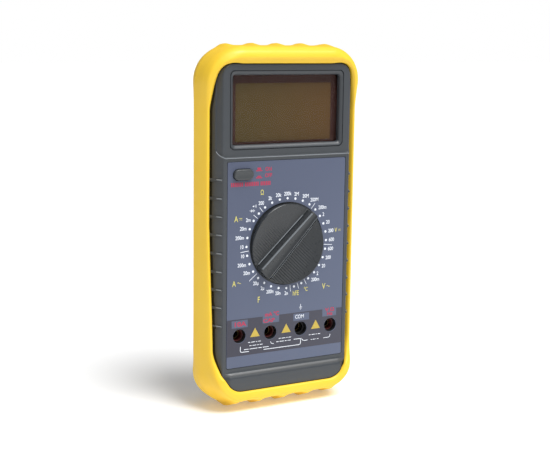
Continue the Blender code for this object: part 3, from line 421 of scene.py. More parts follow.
def boot_ring(where, climb, lift, s):
    """The boot's section at a distance s along an end from its middle."""
    lip = LIP_LOWER if where == "lower" else LIP_UPPER
    side = [(i + lift * share / SLOPE_STEEP, d - lift * share) for (i, d), share in zip(LIP_SIDE, LIFTED)]
    points = [[mix(a, b, climb) for a, b in zip(p, q)] for p, q in zip(side, lip)]
    side_foot, end_foot = side[0], lip[0]
    depth = mix(side_foot[1], end_foot[1], min(climb / LIP_LEAVES, 1.0))
    inset = mix(slope_inset(depth), end_foot[0], max(climb - LIP_LEAVES, 0.0) / (1 - LIP_LEAVES))
    turn = min(max((s - HALF_W + CORNER_R) / CORNER_R, 0.0), math.pi / 2)
    tuck = (CORNER_R - FACE_CORNER[where]) * (math.sqrt(2) - 1) * math.sin(2 * turn) ** 2
    inset -= tuck
    shift = (inset - points[0][0], depth - points[0][1])
    for i, share in enumerate(FOOT_POINTS):
        points[i] = [value + share * move for value, move in zip(points[i], shift)]
    points[0][1] = max(points[0][1], (SLOPE_TOP - points[0][0] - tuck) * SLOPE_STEEP + 0.1)
    points += [[mix(a, b, climb) for a, b in zip(p, q)] for p, q in zip(BACK_SIDE, BACK_END)]
    deep, rib = RIDGES[where] * climb, ridge_height(where, s)
    fade, over = RIDGE_REACH[where]
    for p in points:
        stands = 1.0 if where == "lower" else float(smooth((p[1] - 7.0) / 5.0) * smooth((24.0 - p[1]) / 6.0))
        p[0] += (deep - rib * stands) * float(smooth((fade - p[0]) / over))
    return spline(points, 5)


def boot_half(where):
    """The boot's stations from the middle of one end, round the corner and half-way along the side."""
    straight = HALF_W - CORNER_R
    corner = CORNER_R * math.pi / 2
    side = straight + corner
    half = (TOP - BOTTOM) / 2 - CORNER_R
    climbs = side + 30.0
    along = [*np.arange(0, straight, 0.5), *np.linspace(straight, side, 30, endpoint=False)]
    along += [*np.linspace(side, climbs, 24, endpoint=False), *np.linspace(climbs, side + half, 20)]
    start, length = CLIMB[where]
    stations = []
    for s in along:
        turn = min(max(s - straight, 0.0) / CORNER_R, math.pi / 2)
        nx, nz = math.sin(turn), -math.cos(turn)
        x = min(s, straight) + CORNER_R * nx
        up = CORNER_R * (1 + nz) + max(s - side, 0.0)
        share = min(max((side + start - s) / length, 0.0), 1.0)
        climb = float(mix(smooth(share), share, CLIMB_EVEN[where]))
        lift = LIFT * float(smooth((111 - up) / 95)) if where == "lower" else 0.0
        stations.append((x, up, nx, nz, where, climb, lift, s))
    return stations


def strip_piece(name, rows, mat):
    """Rows of equal length joined in order and back to the first, with the two edges open."""
    faces = grid_faces(len(rows), len(rows[0]), close_rows=True)
    return mesh_piece(name, [p for row in rows for p in row], faces, mat, angle=60)


def holster(mats):
    right = [(x, BOTTOM + up, nx, nz, *rest) for x, up, nx, nz, *rest in boot_half("lower")]
    right += [(x, TOP - up, nx, -nz, *rest) for x, up, nx, nz, *rest in reversed(boot_half("upper")[:-1])]
    left = [(-x, z, -nx, nz, *rest) for x, z, nx, nz, *rest in reversed(right) if x > 0]
    rings = []
    for x, z, nx, nz, *rest in right + left:
        rings.append([(x - i * nx, d, z - i * nz) for i, d in boot_ring(*rest)])
    made = strip_piece("holster_boot", rings, mats["rubber"])
    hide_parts("holster")
    painted_gap_shadow(right + left, mats)


def painted_gap_shadow(stations, mats):
    """A dark strip laid on the case along the boot's lip all round: a painted shadow of the gap between them.
    """
    rows = []
    for x, z, nx, nz, where, climb, lift, s in stations:
        foot = boot_ring(where, climb, lift, s)[0][0]
        width = mix(1.0, 0.5, min(climb * 1.6, 1.0))
        row = []
        for share in (-0.5, 0.0, 0.35, 0.7, 1.0):
            inset = foot + share * width
            px, pz = x - inset * nx, z - inset * nz
            row.append((px, float(front_depth(px, pz)) - (0.05 if share < 1 else -0.1), pz))
        rows.append(row)
    strip_piece("boot_gap_painted_shadow", rows, mats["painted_gap_shadow"])


# --- front of the case ----------------------------------------------------------------------------------
OVERLAY_HALF_W, OVERLAY_Z = 36.1, (25.2, 136.5)
POCKET_HALF_W, POCKET_Z = OVERLAY_HALF_W + 0.3, (OVERLAY_Z[0] - 0.3, OVERLAY_Z[1] + 0.3)
POCKET_DEPTH = 0.75
WINDOW_HALF_W, WINDOW_Z = 34.8, (142.5, 184.3)  # outside of the display's frame
OPEN_HALF_W, OPEN_Z = 32.5, (145.2, 181.6)  # its opening
# The sunken face round the display, which starts at the step over the panel.
DISPLAY_HALF_W, DISPLAY_BOTTOM, DISPLAY_CORNER, DISPLAY_SINK = 40.9, 139.0, 4.2, 0.8
CHIN_HALF_W, CHIN_TOP, CHIN_CORNER = 38.6, 23.7, 5.0
CHIN_RISE, CHIN_RUN = 2.0, 4.4  # how far the chin stands proud, and over what length it rises
CHIN_EDGE = 21.6  # middle of the slope that leads from the panel up to the chin
GRIPS = [DIAL_Z + z for z in (36.1, 26.2, 16.5, 6.8, -3.1, -13.0, -22.7, -32.4, -42.5)]
GRIP_RISE = 1.7
BLUR = 0.7  # half the reach of the soft bend between the flat front and the slope


def front_depth(x, z):
    """Depth of the case's front skin over the plane of the panel."""
    lower, upper = (box_distance(x, z, HALF_W, BOTTOM, TOP, FACE_CORNER[end]) for end in ("lower", "upper"))
    s = np.where(z > 100, upper, lower)
    steep = 1.0  # from this inset outwards
    slope = (SLOPE_TOP - np.maximum(s, steep)) * SLOPE_STEEP + np.maximum(steep - s, 0.0) * 3.2
    chin = box_distance(x, z, CHIN_HALF_W, BOTTOM - 44.0, CHIN_TOP, CHIN_CORNER)
    flat = 0.019 * np.maximum(18.0 - z, 0.0) ** 2 - CHIN_RISE * smooth(chin / CHIN_RUN)
    gap = np.clip(0.5 + (slope - flat) / (2 * BLUR), 0, 1)
    depth = flat + (slope - flat) * gap + BLUR * gap * (1 - gap)
    inside = box_distance(x, z, DISPLAY_HALF_W, DISPLAY_BOTTOM, TOP + 20, DISPLAY_CORNER)
    lip = 0.34 * np.exp(-(((inside + 0.45) / 0.36) ** 2))
    depth = depth + DISPLAY_SINK * smooth(inside / 0.7 + 0.5) - lip
    for grip in GRIPS:
        rise = GRIP_RISE * smooth(1.2 - np.abs(z - grip) / 0.8)
        depth = depth - rise * smooth((np.abs(x) - 38.7) / 0.9) * smooth((46.5 - np.abs(x)) / 1.0)
    return np.where(box_distance(x, z, POCKET_HALF_W, *POCKET_Z, 1.3) > 0, POCKET_DEPTH, depth)


def bright_edges(mats):
    """Thin lighter lines along the chin, the side grips and the step under the display: painted highlights."""
    r = DISPLAY_CORNER
    corner = arc(r - DISPLAY_HALF_W, DISPLAY_BOTTOM + r, r, 190, 270, 14)
    step = corner + [(x, DISPLAY_BOTTOM) for x in np.linspace(r + 0.3 - DISPLAY_HALF_W, 39.0, 120)]
    step = [(x, z - 0.35) for x, z in step]
    ledge = [(x, CHIN_EDGE) for x in np.linspace(-37.0, 38.0, 90)]
    fine_line("chin_highlight", ledge, 2.2, front_depth, mats["chin_highlight"])
    for i, z in enumerate(GRIPS):
        for side, way in (("left", -1), ("right", 1)):
            rib = [(way * x, z + 0.35) for x in np.linspace(39.5, 41.1, 7)]
            made = fine_line(f"grip_edge_{side}_{i + 1}", rib, 0.6, front_depth, mats["edge"])
    fine_line("step_edge", step, 0.55, front_depth, mats["edge"])


def grid_lines(low, high, step, special, fine=()):
    """Evenly spaced lines, twice as close within the fine spans, with a tight pair at each special place."""
    lines = list(np.arange(low, high + step / 2, step))
    lines += [v + step / 2 for v in lines if any(a < v < b for a, b in fine)]
    lines = [v for v in lines if all(abs(v - s) > step * 0.3 for s in special)]
    return np.array(sorted(lines + [s + d for s in special for d in (-0.03, 0.03)]))


def case_front(mats):
    special = (-POCKET_HALF_W, POCKET_HALF_W, -WINDOW_HALF_W, WINDOW_HALF_W)
    xs = grid_lines(-45.4, 45.4, 0.4, special, ((-42, -37.5), (37.5, 42)))
    fine = [(19.0, 25.0), (136.8, 145.5)] + [(g - 1.6, g + 1.6) for g in GRIPS]
    zs = grid_lines(4.1, 193.9, 0.4, (*POCKET_Z, *WINDOW_Z), fine)
    gx, gz = np.meshgrid(xs, zs)
    depth = front_depth(gx, gz)
    case = box_distance(gx, gz, HALF_W, BOTTOM, TOP, CORNER_R)
    window = box_distance(gx, gz, WINDOW_HALF_W, *WINDOW_Z, 2.6)
    dial = 20.5 - np.hypot(gx, gz - DIAL_Z)
    keep = (case > 0.1) & (window < 0.35) & (dial < 0)
    for x in JACKS.values():
        keep &= np.hypot(gx - x, gz - JACK_Z) > 4.4
    straight = KEY_HALF[0] - KEY_HALF[1]
    keep &= np.hypot(np.maximum(np.abs(gx - KEY[0]) - straight, 0), gz - KEY[1]) > 3.4
    cols = len(xs)
    index = -np.ones(gx.size, int)
    index[keep.ravel()] = np.arange(keep.sum())
    faces = []
    for i in range(len(zs) - 1):
        for j in range(cols - 1):
            quad = [index[(i + a) * cols + j + b] for a, b in ((0, 0), (0, 1), (1, 1), (1, 0))]
            if min(quad) >= 0:
                faces.append(quad)
    points = np.stack([gx[keep], depth[keep], gz[keep]], axis=1)
    made = mesh_piece("front_shell", points, faces, mats["case"], angle=35)
    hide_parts("front_case")


def grown(half_w, z, grow, r):
    return rounded_box(half_w + grow, z[0] - grow, z[1] + grow, r)


# The frame's section from the groove inwards, as (growth, corner radius, depth below the sunken face).
FRAME_OUTER = (
    (0.5, 3.6, 0.5), (0.5, 3.6, -0.02), (-0.05, 3.1, -0.02), (-0.12, 3.0, 0.1), (-0.14, 3.0, 0.8),
    (-0.52, 2.7, 0.8), (-0.54, 2.7, 0.12), (-0.66, 2.6, -0.06), (-0.9, 2.4, -0.02),
)
FRAME_INNER = ((0.45, 1.7, 0.75), (0.12, 1.4, 1.15), (0.0, 1.3, 1.6))
FRAME_BACK = 4.2
# The mask's border is partly real print and partly painted shadow: its wide top border stands in for the shadow
# of the opening's top edge.
ACTIVE_HALF_W, ACTIVE_Z = 29.2, (146.4, 177.2)  # the part of the display that the mask leaves open
MASK_DEPTHS = (5.36, 5.56)


def display(mats):
    rings = [at(grown(WINDOW_HALF_W, WINDOW_Z, grow, r), DISPLAY_SINK + d) for grow, r, d in FRAME_OUTER]
    rings += [at(grown(OPEN_HALF_W, OPEN_Z, grow, r), DISPLAY_SINK + d) for grow, r, d in FRAME_INNER]
    rings.append(at(grown(OPEN_HALF_W, OPEN_Z, 0.0, 1.3), FRAME_BACK))
    rings.append(at(grown(WINDOW_HALF_W, WINDOW_Z, 0.5, 3.6), FRAME_BACK))
    bezel = loft_piece("display_bezel", rings, mats["case"], closed=True, angle=50)
    bright_edges(mats)
    active = rounded_box(ACTIVE_HALF_W, *ACTIVE_Z, 0.5)
    hidden = grown(OPEN_HALF_W, OPEN_Z, 0.9, 1.0)
    near, far = MASK_DEPTHS
    rings = [at(hidden, near), at(active, near), at(active, far), at(hidden, far)]
    loft_piece("display_mask_and_painted_shadow", rings, mats["mask"], closed=True, angle=50)


# --- printed panel --------------------------------------------------------------------------------------
BAND_Z = (31.5, 51.85)  # the dark band across the jacks
PRINT_DEPTH, PATCH_PRINT_DEPTH = -0.03, -0.045  # of marks on the film, and of those on the jacks' patches


def upright_mesh(curve, x, depth, z, wide=1.0):
    """A flat curve as a mesh, turned to face the front with its origin at (x, depth, z)."""
    temp = bpy.data.objects.new("flat_curve", curve)
    bpy.context.scene.collection.objects.link(temp)
    bpy.context.view_layer.update()
    mesh = bpy.data.meshes.new_from_object(temp.evaluated_get(bpy.context.evaluated_depsgraph_get()))
    bpy.data.objects.remove(temp, do_unlink=True)
    turn = Matrix.Rotation(math.radians(90), 4, "X") @ Matrix.Diagonal((wide, 1, 1, 1))
    mesh.transform(Matrix.Translation(place(x, depth, z)) @ turn)
    return mesh


def curve_plate(name, outline, holes, d0, d1, mat, bevel=0.0):
    """A flat plate from an outline with holes."""
    curve = bpy.data.curves.new(name, "CURVE")
    curve.dimensions = "2D"
    curve.fill_mode = "BOTH"
    curve.extrude = (d1 - d0) * MM / 2 - bevel * MM
    curve.bevel_depth = bevel * MM
    curve.bevel_resolution = 2
    for loop in (outline, *holes):
        line = curve.splines.new("POLY")
        line.points.add(len(loop) - 1)
        line.use_cyclic_u = True
        for point, (x, z) in zip(line.points, loop):
            point.co = (x * MM, z * MM, 0.0, 1.0)
    mesh = upright_mesh(curve, 0, (d0 + d1) / 2, 0)
    mesh.name = name
    return finish_piece(bpy.data.objects.new(name, mesh), mat, "housing", 35)


def film(mats):
    holes = [circle(0, DIAL_Z, 22.8, 96), stadium(*KEY, 6.1, 3.2)]
    holes += [circle(x, JACK_Z, 3.95, 48) for x in JACKS.values()]
    outline = rounded_box(OVERLAY_HALF_W, *OVERLAY_Z, 0.8)
    plate = curve_plate("panel_film", outline, holes, 0.0, 0.5, mats["panel"], bevel=0.06)
    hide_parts("panel_overlay")
    band_holes = [circle(x, JACK_Z, 4.0, 48) for x in JACKS.values()]
    band = rounded_box(OVERLAY_HALF_W - 0.05, *BAND_Z, 0.05, 1)
    curve_plate("panel_band", band, band_holes, -0.015, 0.02, mats["band"])


class Ink:
    """Gathers printed marks of one colour into one thin mesh just proud of the film."""

    def __init__(self, name, mat, depth=PRINT_DEPTH):
        self.name, self.mat, self.depth = name, mat, depth
        self.bm = bmesh.new()

    def loop(self, outline):
        self.bm.faces.new([self.bm.verts.new(place(x, self.depth, z)) for x, z in outline])

    def dot(self, x, z, r):
        self.loop(circle(x, z, r, 20))

    def line(self, points, width):
        """A stroke with mitred joints."""
        pts = [Vector(p) for p in points]
        runs = [(b - a).normalized() for a, b in zip(pts, pts[1:])]
        left, right = [], []
        for p, behind, ahead in zip(pts, runs[:1] + runs, runs + runs[-1:]):
            along = (ahead + behind).normalized()
            normal = Vector((-along.y, along.x)) * (width / 2) / max(along.dot(ahead), 0.5)
            left.append(p + normal)
            right.append(p - normal)
        self.loop([tuple(p) for p in left + right[::-1]])

    def text(self, words, x, z, size, wide=1.0, bold=0.0):
        curve = bpy.data.curves.new("words", "FONT")
        curve.body = words
        curve.size = size * MM
        curve.align_x = "CENTER"
        curve.align_y = "CENTER"
        curve.offset = bold * MM
        mesh = upright_mesh(curve, x, self.depth, z, wide)
        self.bm.from_mesh(mesh)
        bpy.data.meshes.remove(mesh)

    def done(self):
        for face in self.bm.faces:
            face.normal_update()
            if face.normal.y > 0:
                face.normal_flip()
        mesh = bpy.data.meshes.new(self.name)
        self.bm.to_mesh(mesh)
        self.bm.free()
        finish_piece(bpy.data.objects.new(self.name, mesh), self.mat, "housing", 35)


def dial_angle(k):
    """Dial positions run clockwise in 32nds of a turn; the fourth is at the top."""
    return math.radians(90 - (k - 4) * 11.25)


def on_dial(k, r):
    t = dial_angle(k)
    return r * math.cos(t), DIAL_Z + r * math.sin(t)


DOT_R, MARK_R = 24.74, 23.5  # radius of the dots, and of the inner ends of the lines between the groups
# What stands beside the dots of each dial position, by the side of the dial.
ABOVE = {1: "200", 2: "2k", 3: "20k", 4: "200k", 5: "2M", 6: "20M", 7: "200M"}
RIGHT = {
    8: "200m", 9: "2", 10: "20", 11: "200", 12: "600", 13: "600", 14: "200", 15: "20", 16: "2", 17: "200m",
}
BELOW = {20: "2n", 21: "20n", 22: "200n", 23: "2µ", 24: "20µ"}
LEFT = {25: "20m", 26: "200m", 27: "10", 28: "10", 29: "200m", 30: "20m", 31: "2m"}
LETTER, NARROW = 2.85, 0.8  # size and narrowing of the range figures
# The lines between the groups, as (dial position, radius of the outer end).
GROUP_LINES = (
    (7.5, 27.2), (12.5, 28.8), (17.5, 26.8), (18.5, 26.8), (19.5, 27.0), (24.5, 29.6), (27.5, 28.4),
    (31.5, 26.8), (32.5, 26.9),
)
# The units of the groups, as (letters, x, height over the dial's middle, size).
UNITS = (
    ("Ω", -15.6, 28.6, 3.7), ("A", -31.0, 15.2, 4.4), ("A", -32.0, -19.6, 4.4), ("V", 31.0, 5.1, 3.4),
    ("V", 23.9, -26.1, 4.6), ("F", -17.0, -29.7, 4.6), ("hFE", 6.0, -28.2, 3.7), ("°C", 12.4, -26.6, 3.2),
)


def range_figures(ink):
    for side, figures in (("above", ABOVE), ("right", RIGHT), ("below", BELOW), ("left", LEFT)):
        for k, words in figures.items():
            x, z = on_dial(k, DOT_R)
            c, s = math.cos(dial_angle(k)), math.sin(dial_angle(k))
            half = 0.68 * len(words) + (0.35 if words[-1] in "mM" else 0.0)
            dx, dz = {
                "above": (c * (1.6 + 1.3 * half), 2.4),
                "right": (half + 1.5, 1.3 * s),
                "below": (1.8 * c, -2.9),
                "left": (-half - 1.5, s),
            }[side]
            ink.text(words, x + dx, z + dz, LETTER, NARROW, 0.035)


def direct_sign(ink, x, z, size):
    """A line over three dashes, for direct current."""
    ink.line([(x - size / 2, z + 0.45), (x + size / 2, z + 0.45)], 0.28)
    for i in (-1, 0, 1):
        ink.line([(x + (i - 0.32) * size / 3, z - 0.35), (x + (i + 0.32) * size / 3, z - 0.35)], 0.26)


def wave_sign(ink, x, z):
    """A wave, for alternating current."""
    wave = [(x + 2.0 * (i / 12 - 0.5), z + 0.32 * math.sin(2 * math.pi * i / 12)) for i in range(13)]
    ink.line(wave, 0.3)


def diode_sign(ink, x, z):
    """A diode with two sound waves over it."""
    ink.line([(x - 1.6, z), (x + 1.6, z)], 0.25)
    ink.loop([(x - 0.7, z + 0.8), (x - 0.7, z - 0.8), (x + 0.6, z)])
    ink.line([(x + 0.75, z + 0.8), (x + 0.75, z - 0.8)], 0.25)
    for r in (0.7, 1.35):
        ink.line([(x + 1.0 + a, z + 2.4 + b) for a, b in arc(0, 0, r, -40, 40, 5)], 0.22)
    ink.dot(x + 0.6, z + 2.4, 0.4)


def print_dial(mats):
    white = Ink("dial_print", mats["white"])
    for k in range(1, 33):
        white.dot(*on_dial(k, DOT_R), 0.66)
    range_figures(white)
    for k, reach in GROUP_LINES:
        white.line([on_dial(k, MARK_R), on_dial(k, reach)], 0.3)
    diode_sign(white, -21.4, DIAL_Z + 19.2)
    white.done()
    yellow = Ink("group_print", mats["yellow_ink"])
    for words, x, z, size in UNITS:
        yellow.text(words, x, DIAL_Z + z, size, 0.72, 0.05)
    direct_sign(yellow, -28.3, DIAL_Z + 15.1, 1.8)
    direct_sign(yellow, 33.4, DIAL_Z + 5.0, 1.6)
    wave_sign(yellow, -29.0, DIAL_Z - 19.3)
    wave_sign(yellow, 26.8, DIAL_Z - 26.1)
    yellow.done()


def print_power(mats):
    """The marks beside the power key, and three groups of plain strokes under it."""
    red = Ink("power_print", mats["red_ink"])
    for z, words in ((132.1, "ON"), (128.7, "OFF")):
        red.text(words, -11.9, z, 2.9, 0.85, 0.06)
    for z, lift in ((131.2, 1.0), (127.4, 0.45)):
        # The key seen from the side, at two heights.
        red.loop([(-19.4, z), (-15.7, z), (-15.7, z + 0.55), (-19.4, z + 0.55)])
        red.loop([(-18.6, z + 0.75), (-16.5, z + 0.75), (-16.5, z + 0.9 + lift), (-18.6, z + 0.9 + lift)])
    for count, first in ((7, -33.8), (8, -25.6), (6, -16.3)):
        for i in range(count):
            x = first + 1.06 * i
            red.line([(x, 123.5), (x, 125.7)], 0.7)
    red.done()


# Blue patches over the jacks, as (x, z, width, height).
JACK_PATCHES = (
    (-28.4, 49.15, 9.7, 4.1), (-9.3, 51.15, 10.2, 6.5), (9.8, 49.15, 10.0, 4.1), (27.9, 50.0, 9.0, 4.7),
)
JACK_WORDS = (
    ("10A", -28.4, 49.0, 3.5), ("mA °C", -8.7, 52.6, 3.1), ("CAP", -10.6, 49.2, 2.9),
    ("V Ω", 28.2, 51.2, 2.7), ("Hz", 28.2, 48.9, 2.4),
)
PLAIN_MARKS = ((-19.05, 41.2), (0.3, 41.3), (19.1, 41.4))
# Rows of plain dashes, as (left end, right end, height).
SHORT_BARS = (
    (-23.2, -14.8, 38.4), (-22.4, -13.7, 36.5), (-25.7, -9.9, 34.7), (-4.2, 4.1, 38.4), (-5.8, 3.9, 36.7),
    (14.9, 22.8, 38.2), (16.2, 21.8, 35.4),
)


def print_jacks(mats):
    for i, (x, z, w, h) in enumerate(JACK_PATCHES):
        box = [(x - w / 2, z - h / 2), (x + w / 2, z - h / 2), (x + w / 2, z + h / 2), (x - w / 2, z + h / 2)]
        curve_plate(f"jack_patch_{i}", box, [], -0.03, 0.02, mats["panel"])
    red = Ink("jack_print_red", mats["red_ink"], PATCH_PRINT_DEPTH)
    for words, x, z, size in JACK_WORDS:
        red.text(words, x, z, size, 1.3 if len(words) < 5 else 1.0, 0.1)
    red.done()
    amber = Ink("plain_marks", mats["amber"], PATCH_PRINT_DEPTH)
    for x, z in PLAIN_MARKS:
        amber.loop([(x - 2.9, z), (x + 2.9, z), (x, z + 5.0)])
    amber.done()
    white = Ink("jack_print_white", mats["white"], PATCH_PRINT_DEPTH)
    white.text("COM", 8.7, 49.3, 3.0, 0.82, 0.015)
    # The earth sign over the common jack.
    white.line([(9.25, 56.4), (9.25, 54.7)], 0.28)
    for z, half in ((54.7, 0.95), (54.1, 0.62), (53.5, 0.3)):
        white.line([(9.25 - half, z), (9.25 + half, z)], 0.26)
    for x0, x1, z in SHORT_BARS:
        edge = x0
        for share in (0.22, 0.34, 0.17, 0.27):
            run = (x1 - x0) * share
            white.line([(edge, z), (edge + run - 0.6, z)], 0.34)
            edge += run
    # The brackets that join the jacks' rows, from left to right.
    low, high = 33.4, 36.8
    white.line([(-27.9, 36.6), (-27.9, low + 0.8), (-27.6, low + 0.2), (-27.0, low), (-22.6, low)], 0.33)
    white.line([(-13.7, low), (8.6, low), (9.3, low + 0.3), (9.6, low + 1.0), (9.6, high), (5.2, high)], 0.33)
    white.line([(-9.4, high + 0.6), (-8.9, high - 0.5), (-7.4, high - 0.9)], 0.28)
    white.line([(10.2, high), (10.8, high - 1.0), (11.8, high - 1.4), (14.1, high - 1.4)], 0.3)
    white.line([(24.3, high - 1.4), (27.6, high - 1.4), (28.4, high - 1.0), (28.7, high + 0.4)], 0.3)
    white.done()


# --- knob, key and jacks --------------------------------------------------------------------------------
BAR_ANGLE = math.radians(45.0)
SKIRT_DEPTH = 0.9
# Sections of the turned pieces, as (radius, depth), and of the key, as (shrinkage, depth).
DIAL_WELL = ((22.9, 0.02), (22.9, 1.32), (12.4, 1.32), (12.4, 1.9), (23.4, 1.9), (23.4, 0.02))
JACK_WALL = ((3.94, 0.06), (3.9, 0.5), (3.9, 5.3), (5.2, 5.3), (5.2, 0.7), (4.2, 0.6))
JACK_BUSH = ((3.72, 3.2), (3.4, 3.0), (3.05, 3.1), (2.95, 3.5), (2.95, 9.3), (3.75, 9.3), (3.75, 3.5))
KEY_STEPS = ((0.0, 5.2), (0.0, -1.1), (0.08, -1.4), (0.3, -1.65), (0.65, -1.78), (1.2, -1.72), (1.9, -1.6))
# Thin lines along the bar that paint its highlights, as (name, side, offset from its flank, width, ends,
# material).
KNOB_LINES = (
    ("bead", 1, 2.05, 0.6, (-19.6, 17.0), "edge"),
    ("bar_upper", 1, -0.2, 0.95, (-20.6, 20.8), "knob_highlight"),
    ("bead_lower", -1, 2.35, 0.8, (-19.2, 16.6), "edge"),
    ("bar_lower", -1, -0.05, 0.7, (-20.6, 20.8), "edge"),
)


def soft_ramp(x):
    """Nothing below zero and x above it, with a rounded bend."""
    return (x + np.sqrt(x**2 + 0.04)) / 2


def bar_half(a):
    """Half the width of the bar's top, which narrows towards the pointer."""
    return mix(3.75, 2.15, (a + KNOB_R) / (2 * KNOB_R))


def knob_height(a, b):
    """Height of the knob's face over the panel, a along the pointer bar and b across it."""
    r = np.hypot(a, b)
    top_half = bar_half(a)
    foot_half = top_half + 1.75
    away = np.maximum(np.abs(b) - foot_half, 0)
    bowl = 0.75 + 2.75 * (away / (KNOB_R - foot_half)) ** 1.3
    fade = smooth((away - 0.6) / 0.6) * smooth((15.0 - away) / 9.0) * smooth((12.0 - a) / 18.0)
    ribs = 0.17 * np.sin(2 * math.pi * a / 1.35) * fade
    bead = 0.55 * np.exp(-(((np.abs(b) - foot_half - 0.3) / 0.3) ** 2))
    over = np.abs(b) - top_half
    flank = 4.5 - 0.75 * soft_ramp(over + 0.6) - 1.55 * soft_ramp(over)
    flank = flank - 0.45 * np.clip(1 - (b / (top_half - 0.6)) ** 2, 0, 1)
    bar = np.maximum(bowl + ribs + bead, flank)
    edge = smooth((KNOB_R - r) / 0.45 + 0.1)
    return np.where(r > KNOB_R - 0.6, bar - (1 - edge) * 0.4, bar)


def crowded(count, share):
    """Steps from -1 to 1 that crowd towards both ends by this share."""
    return mix(np.linspace(-1, 1, count), np.sin(np.linspace(-math.pi / 2, math.pi / 2, count)), share)


def knob(mats):
    c, s = math.cos(BAR_ANGLE), math.sin(BAR_ANGLE)
    close = np.arange(2.2, 5.9, 0.1)  # more rows down the bar's flanks
    strips = np.sort(np.concatenate([crowded(181, 0.35) * KNOB_R, close, -close]))
    share = crowded(241, 0.3)
    rows = []
    for b in strips[1:-1]:
        a = share * math.sqrt(KNOB_R**2 - b**2)
        # The rows lean with the bar's flanks, so that its edges stay straight.
        lean = -0.8 * a / KNOB_R * np.sign(b) * smooth(abs(b) / 2.0) * smooth((14.0 - abs(b)) / 8.0)
        scale = np.hypot(a, b) / np.hypot(a, b + lean)
        a, bb = a * scale, (b + lean) * scale
        h = knob_height(a, bb)
        rows.append(np.stack([a * c - bb * s, -h, DIAL_Z + a * s + bb * c], axis=1))
    points = np.vstack(rows)
    n, m = len(rows), len(share)
    faces = grid_faces(n, m)
    index = np.arange(n * m).reshape(n, m)
    border = [*index[0], *index[1:, -1], *index[-1, -2::-1], *index[-2:0:-1, 0]]
    border = [int(i) for i in border]
    start, count = len(points), len(border)
    points = np.vstack([points, [(points[i][0], SKIRT_DEPTH, points[i][2]) for i in border]])
    faces += [(border[i], border[(i + 1) % count], start + (i + 1) % count, start + i) for i in range(count)]
    faces.append(tuple(range(start, start + count)))
    made = mesh_piece("selector_dial", points, faces, mats["knob"], "selector", angle=45)
    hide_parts("selector_knob")

    def face(x, z):
        z = z - DIAL_Z
        return -knob_height(x * c + z * s, z * c - x * s)

    for name, way, off, width, ends, mat in KNOB_LINES:
        along = [(a, way * (bar_half(a) + off)) for a in np.linspace(*ends, 60)]
        path = [(a * c - b * s, DIAL_Z + a * s + b * c) for a, b in along]
        made = fine_line(f"knob_line_{name}", path, width, face, mats[mat], "selector")
    turned("dial_well", 0, DIAL_Z, DIAL_WELL, mats["dark"], steps=96)


def key(mats):
    def outline(grow):
        return stadium(*KEY, KEY_HALF[0] + grow, KEY_HALF[1] + grow)

    rings = [at(outline(-s), d) for s, d in KEY_STEPS]
    made = loft_piece("power_key", rings, mats["key"], "button", angle=60)
    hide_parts("power_button")
    # The guide round the key is near-black: painted shade in the gap round the key.
    rings = [at(outline(g), d) for g, d in ((0.35, 0.3), (0.35, 5.0), (1.55, 5.0), (1.55, 0.7))]
    loft_piece("key_guide", rings, mats["dark"], closed=True)


def jacks(mats):
    for name, x in JACKS.items():
        colour = mats["black" if name == "com" else "red"]
        turned(f"jack_wall_{name}", x, JACK_Z, JACK_WALL, mats["dark"], steps=48)
        bush = turned(f"jack_insulator_{name}", x, JACK_Z, JACK_BUSH, colour, steps=48)
        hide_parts(f"jack_bush_{name}")


# --- pieces kept from the model -------------------------------------------------------------------------
KEPT = {
    "rear": ("rear_case", "battery_door", "kickstand"),
    "window": ("lcd_window",),
    "lcd": ("lcd_glass",),
    "mask": ("lcd_frame",),
    "dark": (
        "zebra_strip_", "contact_rotor", "switch_plunger", "power_switch", "converter_chip", "battery_9v",
        "battery_snap", "battery_lead_minus",
    ),
    "red": ("battery_lead_plus",),
    "board": ("main_board",),
    "brass": ("jack_sleeve_", "fuse_clip_", "current_shunt", "buzzer_disc", "contact_wiper_"),
    "steel": ("board_screw_", "case_screw_", "battery_door_screw", "rotor_screw", "detent_"),
}


def dress_kept(mats):
    for name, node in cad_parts.items():
        for key_name, prefixes in KEPT.items():
            if name.startswith(prefixes):
                node.data.materials.clear()
                node.data.materials.append(mats[key_name])


# --- stage ----------------------------------------------------------------------------------------------
ROOM = 0.18  # strength of the light from all round
FLOOR_HALF = 6.0  # in metres
SUN, SUN_SIZE, SUN_FALLS = 3.3, 35, (-0.25, 0.62, -1.15)  # strength, degrees across, direction
LENS, SENSOR = 75.6039, 36.0
AZIMUTH, ELEVATION, ROLL = -29.10, 9.52, 0.777  # of the camera, in degrees
CAMERA_AT = (-305.16, -534.7, DIAL_Z + 113.27)


def area(name, location, target, size, power):
    light = bpy.data.lights.new(name, "AREA")
    light.shape = "RECTANGLE"
    light.size, light.size_y = size
    light.energy = power
    made = bpy.data.objects.new(name, light)
    made.location = location
    made.rotation_euler = (Vector(target) - Vector(location)).to_track_quat("-Z", "Y").to_euler()
    bpy.context.scene.collection.objects.link(made)


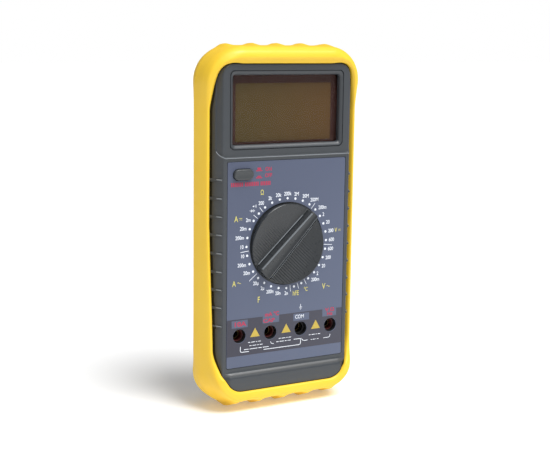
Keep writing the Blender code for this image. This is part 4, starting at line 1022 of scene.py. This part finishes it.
def stage(mats):
    mesh = bpy.data.meshes.new("floor")
    r = FLOOR_HALF
    mesh.from_pydata([(-r, -r, 0), (r, -r, 0), (r, r, 0), (-r, r, 0)], [], [(0, 1, 2, 3)])
    floor = bpy.data.objects.new("floor", mesh)
    bpy.context.scene.collection.objects.link(floor)
    mesh.materials.append(mats["floor"])
    world = bpy.data.worlds.new("studio")
    world.use_nodes = True
    tree = world.node_tree
    room = tree.nodes["Background"]
    room.inputs["Color"].default_value = (0.95, 0.97, 1.0, 1.0)
    room.inputs["Strength"].default_value = ROOM
    backdrop = tree.nodes.new("ShaderNodeBackground")
    backdrop.inputs["Color"].default_value = (1.0, 1.0, 1.0, 1.0)
    seen = tree.nodes.new("ShaderNodeLightPath")
    choose = tree.nodes.new("ShaderNodeMixShader")
    tree.links.new(seen.outputs["Is Camera Ray"], choose.inputs[0])
    tree.links.new(room.outputs[0], choose.inputs[1])
    tree.links.new(backdrop.outputs[0], choose.inputs[2])
    tree.links.new(choose.outputs[0], tree.nodes["World Output"].inputs["Surface"])
    bpy.context.scene.world = world
    sun = bpy.data.lights.new("key_light", "SUN")
    sun.energy = SUN
    sun.angle = math.radians(SUN_SIZE)
    key_light = bpy.data.objects.new("key_light", sun)
    key_light.rotation_euler = Vector(SUN_FALLS).to_track_quat("-Z", "Y").to_euler()
    bpy.context.scene.collection.objects.link(key_light)
    area("top_light", (-0.05, -0.3, 0.8), (0.0, 0.0, 0.1), (0.7, 0.35), 1.5)
    bpy.context.scene.view_settings.view_transform = "Standard"


def camera():
    made = bpy.data.cameras.new("camera")
    made.sensor_width = SENSOR
    made.lens = LENS
    made.clip_start = 0.01
    holder = bpy.data.objects.new("camera", made)
    azimuth, elevation, roll = (math.radians(v) for v in (AZIMUTH, ELEVATION, ROLL))
    right = Vector((math.cos(azimuth), math.sin(azimuth), 0))
    outward = Vector((math.sin(azimuth), -math.cos(azimuth), 0))
    back = outward * math.cos(elevation) + Vector((0, 0, math.sin(elevation)))
    up = back.cross(right)
    side = right * math.cos(roll) + up * math.sin(roll)
    top = up * math.cos(roll) - right * math.sin(roll)
    turn = Matrix((side, top, back)).transposed().to_4x4()
    holder.matrix_world = Matrix.Translation(place(*CAMERA_AT)) @ turn
    bpy.context.scene.collection.objects.link(holder)
    bpy.context.scene.camera = holder


def main():
    mats = make_materials()
    holster(mats)
    case_front(mats)
    display(mats)
    film(mats)
    print_dial(mats)
    print_power(mats)
    print_jacks(mats)
    knob(mats)
    key(mats)
    jacks(mats)
    dress_kept(mats)
    stage(mats)
    camera()


main()
